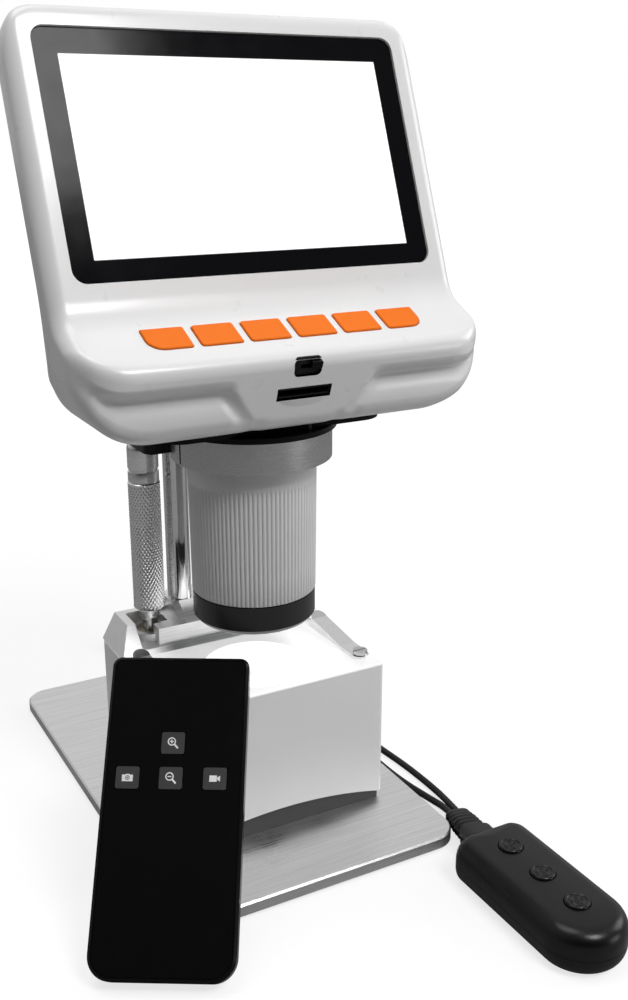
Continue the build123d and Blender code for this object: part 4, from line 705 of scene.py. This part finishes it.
def loop(radius, centre=(0, 0), count=32, start=0.0, end=360.0):
    """Points on an arc."""
    angle = np.radians(np.linspace(start, end, count, endpoint=end - start < 359.9))
    return np.stack([centre[0] + radius * np.cos(angle), centre[1] + radius * np.sin(angle)], -1)


def bar(a, b, width):
    """Four corners of a straight stroke from a to b."""
    a, b = np.array(a, float), np.array(b, float)
    along = (b - a) / np.linalg.norm(b - a)
    off = np.array([-along[1], along[0]]) * width / 2
    return np.array([a - off, b - off, b + off, a + off])


def hoop(outer, inner, centre=(0, 0)):
    """A flat ring as one closed outline, slit once between its two circles."""
    out, into = loop(outer, centre), loop(inner, centre)
    return np.vstack([out, out[:1], into[:1], into[::-1]])


def symbol(name, outlines, key, body):
    """Printed strokes: each outline fills one face on the key's top, thickened by a paint film."""
    corner, faces = [], []
    for outline in outlines:
        faces.append(list(range(len(corner), len(corner) + len(outline))))
        corner += list(outline)
    corner = np.array(corner)
    place = (
        REMOTE_FOOT
        + (key[0] + corner[:, :1]) * REMOTE_X
        + (key[1] + corner[:, 1:]) * REMOTE_UP
        + 0.36 * REMOTE_OUT
    )
    mesh = bpy.data.meshes.new(name)
    mesh.from_pydata((place * MM).tolist(), [], faces)
    mesh.materials.append(white_print)
    piece = add(name, mesh)
    film = piece.modifiers.new("paint_film", "SOLIDIFY")
    film.thickness = 0.05 * MM
    film.offset = -1.0
    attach(piece, body)
    return piece


glass_hoop = hoop(1.15, 0.85, (-0.35, 0.4))
stalk = bar((0.45, -0.4), (1.45, -1.45), 0.5)
cross_bar = bar((-0.9, 0.4), (0.2, 0.4), 0.26)
symbol(
    "zoom_in_symbol",
    [
        *[glass_hoop, stalk, cross_bar],
        *[bar((-0.35, 0.53), (-0.35, 0.95), 0.26), bar((-0.35, -0.15), (-0.35, 0.27), 0.26)],
    ],
    (-0.7, 61.4),
    "remote_zoom_in_button",
)
symbol("zoom_out_symbol", [glass_hoop, stalk, cross_bar], (-0.7, 51.8), "remote_zoom_out_button")
left_half = np.vstack([[(-1.5, -1.05), (0.0, -1.05)], loop(0.62, (0, -0.1), 13, 270, 90), [(0.0, 0.95)]])
left_half = np.vstack([left_half, [(-0.45, 0.95), (-0.6, 0.75), (-1.5, 0.75)]])
right_half = np.vstack([[(0.0, -1.05), (1.5, -1.05), (1.5, 0.75), (0.6, 0.75), (0.45, 0.95), (0.0, 0.95)]])
right_half = np.vstack([right_half, loop(0.62, (0, -0.1), 13, 90, -90)])
symbol(
    "photo_symbol",
    [left_half, right_half, hoop(0.42, 0.22, (0, -0.1))],
    (-12.6, 51.8),
    "remote_photo_button",
)
symbol(
    "video_symbol",
    [
        np.array([(-1.5, -0.85), (0.55, -0.85), (0.55, 0.85), (-1.5, 0.85)]),
        np.array([(0.65, -0.3), (1.45, -0.8), (1.45, 0.8), (0.65, 0.3)]),
    ],
    (11.4, 51.8),
    "remote_video_button",
)


# ------------------------------------------------------------------ head housing
def on_face(b, c):
    """(Y, Z) of points b up the screen face and c out of it."""
    return np.stack(
        np.broadcast_arrays(
            FACE_MIDDLE[0] + b * math.sin(TILT) - c * math.cos(TILT),
            FACE_MIDDLE[1] + b * math.cos(TILT) + c * math.sin(TILT),
        ),
        -1,
    )


def smoothstep(t):
    t = np.clip(t, 0, 1)
    return t * t * (3 - 2 * t)


def quarter(radius, beyond):
    """Height of a quarter circle of that radius at a distance beyond its centre line."""
    return np.sqrt(np.clip(radius**2 - np.clip(beyond, 0, radius) ** 2, 0, None))


def front_line(across, height, inset):
    """How far forward the housing reaches, as Y: in the middle a sloping apron runs from the lip to the floor; to
    both sides the front falls into a soft valley under the lip and swells again into a lobe. The valley rises in
    a quarter circle at the plan's corners, and the plan's bow and 16 mm corners cut everything. A low crescent lip
    stands under the card slot."""
    rise = 12.0 - quarter(12.0, across - 49.0)
    apron = LIP[0] + (LIP[1] - height) * 0.3603
    lobe = -31.0 + (height - 143.0) ** 2 / np.where(height > 143.0, 15.0, 24.0)
    under = smoothstep((151.4 + rise - height) / 5.0)
    edge = 12.5 + 10.5 * np.clip((height - 135.4) / 12.8, 0, 1) ** 0.8
    lobes = under * smoothstep((across - edge + 3.5) / 7.0) * (1 - smoothstep((across - 52.0) / 9.0))
    valley = 4 * lobes * (1 - lobes)
    line = apron + (lobe - apron) * lobes + 0.9 * valley
    plan = np.where(
        across < 45.0, -37.2 + across**2 / 1243.0, -19.57 - quarter(16.0, across - 45.0)
    )
    plan = plan + 1.3 * lobes + 0.5 * valley
    line = 0.5 * (line + plan + np.sqrt((line - plan) ** 2 + 2.0)) - 0.2
    dish = np.clip(1 - (across / 6.6) ** 2, 0, 1) ** 0.5
    depth = np.clip((height - 143.9 + 2.1 * dish) / (2.1 * dish + 1e-6), 0, 1) * (height < 145.5)
    return line - 0.4 * depth * dish**0.5 * (inset < 0.1) + 1.06 * inset


def corner_arc(before, at, after, reach, count=9):
    """A parabola that rounds the corner at a point and touches both of its sides a reach away from it."""
    one, other = before - at, after - at
    near, far = np.linalg.norm(one, axis=-1), np.linalg.norm(other, axis=-1)
    reach = np.minimum(reach, 0.45 * np.minimum(near, far))
    start = at + one * (reach / np.maximum(near, 1e-6))[:, None]
    stop = at + other * (reach / np.maximum(far, 1e-6))[:, None]
    t = np.linspace(0, 1, count)[:, None, None]
    return (1 - t) ** 2 * start + 2 * t * (1 - t) * at + t**2 * stop


def straight(a, b, count):
    """Points strictly between two others."""
    s = np.linspace(0, 1, count + 2)[1:-1, None, None]
    return a + (b - a) * s


def head_form(inset, stations, front_inset):
    """Side sections of the housing at stations across its width, each a closed loop of straight runs, rounded
    corners and the front line. Over the last few millimetres each section shrinks by a quarter circle."""
    half, side = 61.0 - inset, 4.5 - inset
    rim = half - side + side * np.sin(np.radians(np.linspace(8, 90, 10)))
    x = np.concatenate([-rim[::-1], stations, rim])
    across = np.abs(x)
    s = side - quarter(side, across - 56.5)
    top = 30.3 + quarter(10.0 - inset, across - 51.0) - s
    floor_height = 155.3 - quarter(20.5 - inset, across - 40.5)
    back = 9.0 - 12.0 * np.clip((across - 47.0) / 13.5, 0, 1)
    back = back + (27.0 - back) * smoothstep((51.0 - across) / 8.0) - inset - s
    meets = 201.19 + (back - 13.26) / math.tan(TILT)
    shoulder = np.interp(across, [0, 34, 40, 47, 61], [211, 211, 206, 198, 166])
    belly_top = np.maximum(np.minimum(shoulder, meets - 4.0), floor_height + 1.5)

    out_face, out_back = 0.8 - s - front_inset, -12.0 + s + inset
    crease_at = on_face(np.full_like(x, -43.0), 0.8)
    normal = np.array([-math.sin(SHELF_SLOPE), math.cos(SHELF_SLOPE)])
    up = np.array([math.sin(TILT), math.cos(TILT)])
    face_foot = on_face(np.zeros_like(x), out_face)
    b = -((face_foot - crease_at) @ normal + (s + inset)) / (up @ normal)
    crease = face_foot + b[:, None] * up
    lip_y = front_line(across, 155.0, inset)
    lip_z = crease[:, 1] - (crease[:, 0] - lip_y) * math.tan(SHELF_SLOPE)
    lip = np.stack([lip_y, lip_z], -1)
    tall = lip_z - floor_height
    lip_reach, foot_reach = np.minimum(3.2, 0.3 * tall), np.minimum(5.0, 0.35 * tall)
    start, stop = lip_z - lip_reach, floor_height + foot_reach
    heights = start + (stop - start) * np.linspace(0, 1, 52)[:, None]
    front = np.stack([front_line(across[None, :], heights, inset), heights], -1)
    foot = np.stack([front_line(across, floor_height + 0.5, inset), floor_height], -1)
    heel = np.stack([back, floor_height], -1)
    belly = np.stack([back, belly_top], -1)
    joint = on_face((belly_top + 14.0 - 201.19) / math.cos(TILT), out_back)
    top_front, top_back = on_face(top, out_face), on_face(top, out_back)

    t = np.linspace(0, 1, 11)[:, None, None]
    way = (crease - lip) / np.linalg.norm(crease - lip, axis=-1, keepdims=True)
    lip_arc = (1 - t) ** 2 * (lip + lip_reach[:, None] * way) + 2 * t * (1 - t) * lip + t**2 * front[0]
    foot_out = foot + np.stack([foot_reach, 0 * foot_reach], -1)
    foot_arc = (1 - t) ** 2 * front[-1] + 2 * t * (1 - t) * foot + t**2 * foot_out
    r = max(0.3, 1 - inset / 4)
    face_end = corner_arc(top_back, top_front, crease, r * 4.0)
    crease_arc = corner_arc(top_front, crease, lip_arc[0], 5.5, 13)
    heel_arc = corner_arc(foot_out, heel, belly, r * 5.0)
    belly_arc = corner_arc(heel, belly, joint, r * 6.0)
    joint_arc = corner_arc(belly, joint, top_back, r * 6.0)
    back_arc = corner_arc(joint, top_back, top_front, r * 4.5)
    rounds = np.concatenate(
        [
            face_end,
            straight(face_end[-1], crease_arc[0], 24),
            crease_arc,
            straight(crease_arc[-1], lip_arc[0], 6),
            lip_arc[:-1],
            front[:-1],
            foot_arc,
            straight(foot_arc[-1], heel_arc[0], 14),
            heel_arc,
            straight(heel_arc[-1], belly_arc[0], 20),
            belly_arc,
            straight(belly_arc[-1], joint_arc[0], 2),
            joint_arc,
            straight(joint_arc[-1], back_arc[0], 6),
            back_arc,
            straight(back_arc[-1], face_end[0], 2),
        ],
        0,
    ).transpose(1, 0, 2)
    return np.concatenate([np.broadcast_to(x[:, None, None], rounds.shape[:2] + (1,)), rounds], -1)


def closed(name, sections):
    """Mesh of a loft over closed sections, each end closed with one face."""
    rows, columns = sections.shape[:2]
    index = np.arange(rows * columns).reshape(rows, columns)
    index = np.hstack([index, index[:, :1]])
    quads = np.stack([index[:-1, :-1], index[:-1, 1:], index[1:, 1:], index[1:, :-1]], -1).reshape(-1, 4)
    ends = [list(range(columns))[::-1], list(range((rows - 1) * columns, rows * columns))]
    mesh = bpy.data.meshes.new(name)
    mesh.from_pydata((sections.reshape(-1, 3) * MM).tolist(), [], quads.tolist() + ends)
    return mesh


def prism(outline, origin, normal, low, high, inner=None):
    """Prism over an outline of (across, up) points in a plane that leans about the X axis. Its low end may have
    an outline of its own with as many points."""
    normal = np.array(normal)
    up = np.cross(normal, (1, 0, 0))

    def placed(points, level):
        points = np.asarray(points, float)
        return np.array(origin) + points[:, :1] * np.array([1.0, 0, 0]) + points[:, 1:] * up + level * normal

    ends = [placed(outline if inner is None else inner, low), placed(outline, high)]
    return closed("cutter", np.stack(ends)[:, ::-1][::-1])


def undercut(width, height, radius, down):
    """Opening in the apron whose sides and lower edge run back behind the skin, so that no wall shows in it."""

    def section(level):
        grow = -level * 0.7
        return rounded(width + 2 * grow, height + grow, [radius] * 4, (0, -down - grow / 2))

    return prism(section(2.0), *APRON, -3.2, 2.0, section(-3.2))


def rounded(width, height, radii, centre=(0, 0), count=9):
    """Outline of a rectangle, anticlockwise from its lower right corner, with a radius for each corner."""
    corners = []
    for k, (sx, sy) in enumerate([(1, -1), (1, 1), (-1, 1), (-1, -1)]):
        radius = max(radii[k], 0.001)
        angle = np.radians(np.linspace(-90, 0, count) + 90 * k)
        middle = (centre[0] + sx * (width / 2 - radius), centre[1] + sy * (height / 2 - radius))
        corners.append(
            np.stack([middle[0] + radius * np.cos(angle), middle[1] + radius * np.sin(angle)], -1)
        )
    return np.vstack(corners)


def carve(name, mesh, steps):
    """A mesh after Boolean steps with other meshes, each a pair of operation and mesh."""
    body = add(name, mesh)
    tools = []
    for operation, other in steps:
        tool = add("tool", other)
        tools.append(tool)
        cut = body.modifiers.new("cut", "BOOLEAN")
        cut.operation = operation
        cut.solver = "EXACT"
        cut.object = tool
    view = bpy.context.evaluated_depsgraph_get()
    result = bpy.data.meshes.new_from_object(body.evaluated_get(view))
    for item in tools + [body]:
        bpy.data.objects.remove(item)
    result.name = name
    return result


def case_half(name, mesh, steps, look, body, node, sharp):
    """One half of a case, after its Boolean steps, as a finished piece."""
    mesh = carve(name, mesh, steps)
    mesh.polygons.foreach_set("use_smooth", np.ones(len(mesh.polygons), bool))
    mesh.set_sharp_from_angle(angle=math.radians(sharp))
    mesh.materials.clear()
    mesh.materials.append(finish[look])
    piece = add(name, mesh)
    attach(piece, body)
    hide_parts(node)


FACE = ((0, *FACE_MIDDLE), (0, -math.cos(TILT), math.sin(TILT)))
SHELF = ((0, *CREASE), (0, -math.sin(SHELF_SLOPE), math.cos(SHELF_SLOPE)))
APRON = ((0, *LIP), (0, -math.cos(APRON_SLOPE), -math.sin(APRON_SLOPE)))
stations = np.concatenate(
    [np.linspace(-56.5, -28.0, 30)[:-1], np.linspace(-28.0, 28.0, 113), np.linspace(28.0, 56.5, 30)[1:]]
)
hollow = ("DIFFERENCE", closed("hollow", head_form(2.1, np.linspace(-56.5, 56.5, 47), 4.0)))
neck = ("DIFFERENCE", prism(loop(17.5, (0, 0), 48), (0, 0, 136.0), (0, 0, 1), -3.0, 3.0))
openings = [
    ("DIFFERENCE", prism(rounded(107.7, 67.4, [3.8] * 4, (0, 0.1)), *FACE, -1.2, 4.0)),
    ("DIFFERENCE", prism(rounded(98.0, 57.0, [0] * 4, (0, 0.1)), *FACE, -5.0, -1.0)),
    ("DIFFERENCE", undercut(8.2, 4.6, 1.5, 3.6)),
    ("DIFFERENCE", undercut(16.3, 3.8, 0.15, 10.9)),
    neck,
]
for index in range(6):
    radii = [1.1, 1.1, 1.1, 1.1]
    if index == 0:
        radii[3] = 4.6
    if index == 5:
        radii[0] = 4.6
    hole = rounded(12.1, 9.4, radii, (13.93 * (index - 2.5), -10.65))
    openings.append(("DIFFERENCE", prism(hole, *SHELF, -3.5, 3.0)))


def seam_zone(back):
    """Everything in front of the parting line: the screen slab's front part, and below it a plane across."""
    low = on_face(-42.5, -5.0)[1]
    top = on_face(70.0, -5.0)
    outline = np.array([(-60, 270), (-60, 120), (-9, 120), (-9, low), tuple(top)]) + (back, 0)
    outline[:2, 0] = -60
    side = np.concatenate([np.full((5, 1), -70.0), outline], -1)
    return closed("zone", np.stack([side, side + (140.0, 0, 0)]))


shell = carve("shell", closed("outer", head_form(0.0, stations, 0.0)), [hollow])
for name, steps, node in (
    ("front_housing", [("INTERSECT", seam_zone(0.0))] + openings, "head_front_shell"),
    ("rear_housing", [("DIFFERENCE", seam_zone(0.15)), neck], "head_rear_shell"),
):
    case_half(name, shell.copy(), steps, "head_white", "head", node, 30)


# ------------------------------------------------------------------ controller housing
def unit_outline(side, end):
    """Plan of the controller, inset at its sides and at its cord end: that end straight with rounded corners, the
    other a half circle."""
    half = max(12.8 - side, 0.02)
    corner = max(min(4.5 - 0.5 * side, half - 0.01), 0.01)
    back = UNIT_END - end
    far_end = loop(half, (UNIT_X, -102.2), 49, 180.0, 360.0 - 1e-6)
    right = loop(corner, (UNIT_X + half - corner, back - corner), 13, 0.0, 90.0)
    left = loop(corner, (UNIT_X - half + corner, back - corner), 13, 90.0, 180.0)
    right_side = far_end[-1:] + (right[:1] - far_end[-1:]) * np.linspace(0, 1, 14)[1:-1, None]
    left_side = left[-1:] + (far_end[:1] - left[-1:]) * np.linspace(0, 1, 14)[1:-1, None]
    return np.vstack([far_end, right_side, right, left, left_side])


def unit_form():
    """Soap-shaped body: plan outlines stacked upwards. The inset follows a superellipse into the foot and a
    larger one into the top, which ends in a slightly crowned panel."""
    turn = np.radians(np.linspace(0, 90, 12))
    foot_side, foot_z = 4.6 * (1 - np.sin(turn) ** 0.85), 0.2 + 5.3 * (1 - np.cos(turn) ** 0.85)
    top_side, top_z = 5.4 * (1 - np.cos(turn) ** 0.85), 7.4 + 6.15 * np.sin(turn) ** 0.85
    crown = np.linspace(0, 1, 5)[1:]
    side = np.concatenate([[12.75], foot_side, [0.0], top_side, 5.4 + 7.35 * crown])
    height = np.concatenate([[0.2], foot_z, [6.5], top_z, 13.55 + 0.35 * np.sin(crown * np.pi / 2)])
    flat = np.stack([unit_outline(a, 0.42 * a) for a in side])
    return np.concatenate([flat, np.broadcast_to(height[:, None, None], flat.shape[:2] + (1,))], -1)


block = rounded(60.0, 90.0, [0] * 4, (UNIT_X, -87.0))
wells = [
    ("DIFFERENCE", prism(loop(3.8, centre, 40), (0, 0, 0), (0, 0, 1), 11.5, 16.0)) for centre in UNIT_KEYS
]
above = ("INTERSECT", prism(block, (0, 0, 0), (0, 0, 1), 6.06, 20.0))
below = ("INTERSECT", prism(block, (0, 0, 0), (0, 0, 1), -5.0, 5.94))
for name, steps, node in (
    ("controller_top_housing", [above] + wells, "controller_upper_case"),
    ("controller_foot_housing", [below], "controller_lower_case"),
):
    case_half(name, closed("case", unit_form()), steps, "controller_black", "stand", node, 40)


# ------------------------------------------------------------------ floor, sky and lamps
floor_mesh = bpy.data.meshes.new("floor")
floor_mesh.from_pydata([(-4, -4, 0), (4, -4, 0), (4, 6, 0), (-4, 6, 0)], [], [(0, 1, 2, 3)])
floor = add("floor", floor_mesh)
paper = bpy.data.materials.new("paper")
paper.use_nodes = True
tree = paper.node_tree
base = tree.nodes["Principled BSDF"]
base.inputs["Base Color"].default_value = (0.30, 0.30, 0.30, 1)
base.inputs["Roughness"].default_value = 0.9
base.inputs["Specular IOR Level"].default_value = 0.0
path = tree.nodes.new("ShaderNodeLightPath")
seen = reckon(tree, "MAXIMUM", path.outputs["Is Camera Ray"], path.outputs["Is Transmission Ray"])
spot = tree.nodes.new("ShaderNodeTexCoord").outputs["Object"]
away = tree.nodes.new("ShaderNodeVectorMath")
away.operation = "LENGTH"
tree.links.new(spot, away.inputs[0])
fade = ramp(tree, away.outputs["Value"], 0.25, 1.3, 0.74, 1.0)
base.inputs["Emission Color"].default_value = (1, 1, 1, 1)
tree.links.new(reckon(tree, "MULTIPLY", fade, seen), base.inputs["Emission Strength"])
floor_mesh.materials.append(paper)

world = bpy.data.worlds.new("studio")
world.use_nodes = True
bpy.context.scene.world = world
tree = world.node_tree
sky = tree.nodes["Background"]
way = tree.nodes.new("ShaderNodeTexCoord")
lean = tree.nodes.new("ShaderNodeVectorMath")
lean.operation = "DOT_PRODUCT"
lean.inputs[1].default_value = (0.10, 0.36, 0.13)
tree.links.new(way.outputs["Generated"], lean.inputs[0])
level = reckon(tree, "ADD", lean.outputs["Value"], 0.26)
level.node.use_clamp = True
path = tree.nodes.new("ShaderNodeLightPath")
white = tree.nodes.new("ShaderNodeMix")
white.data_type = "RGBA"
white.inputs["B"].default_value = (1, 1, 1, 1)
tree.links.new(path.outputs["Is Camera Ray"], white.inputs["Factor"])
tree.links.new(level, white.inputs["A"])
tree.links.new(white.outputs["Result"], sky.inputs["Color"])


def lamp(name, place, target, size, watts):
    """A square soft box that looks at a point."""
    light = bpy.data.lights.new(name, "AREA")
    light.size = size
    light.energy = watts
    box = add(name, light)
    aim = (Vector(target) - Vector(place)).to_track_quat("-Z", "Y")
    box.matrix_world = Matrix.Translation(Vector(place)) @ aim.to_matrix().to_4x4()


middle = (0.0, 0.0, 0.13)
lamp("key_box", (0.16, -0.74, 1.06), middle, 0.4, 7.3)
lamp("side_box", (1.05, -0.20, 0.55), middle, 0.5, 2.8)
lamp("front_box", (0.75, -0.85, 0.12), middle, 0.4, 1.5)
lamp("top_box", (-0.20, 0.15, 1.15), middle, 0.6, 3.4)

bpy.context.scene.view_settings.view_transform = "Standard"
bpy.context.view_layer.update()
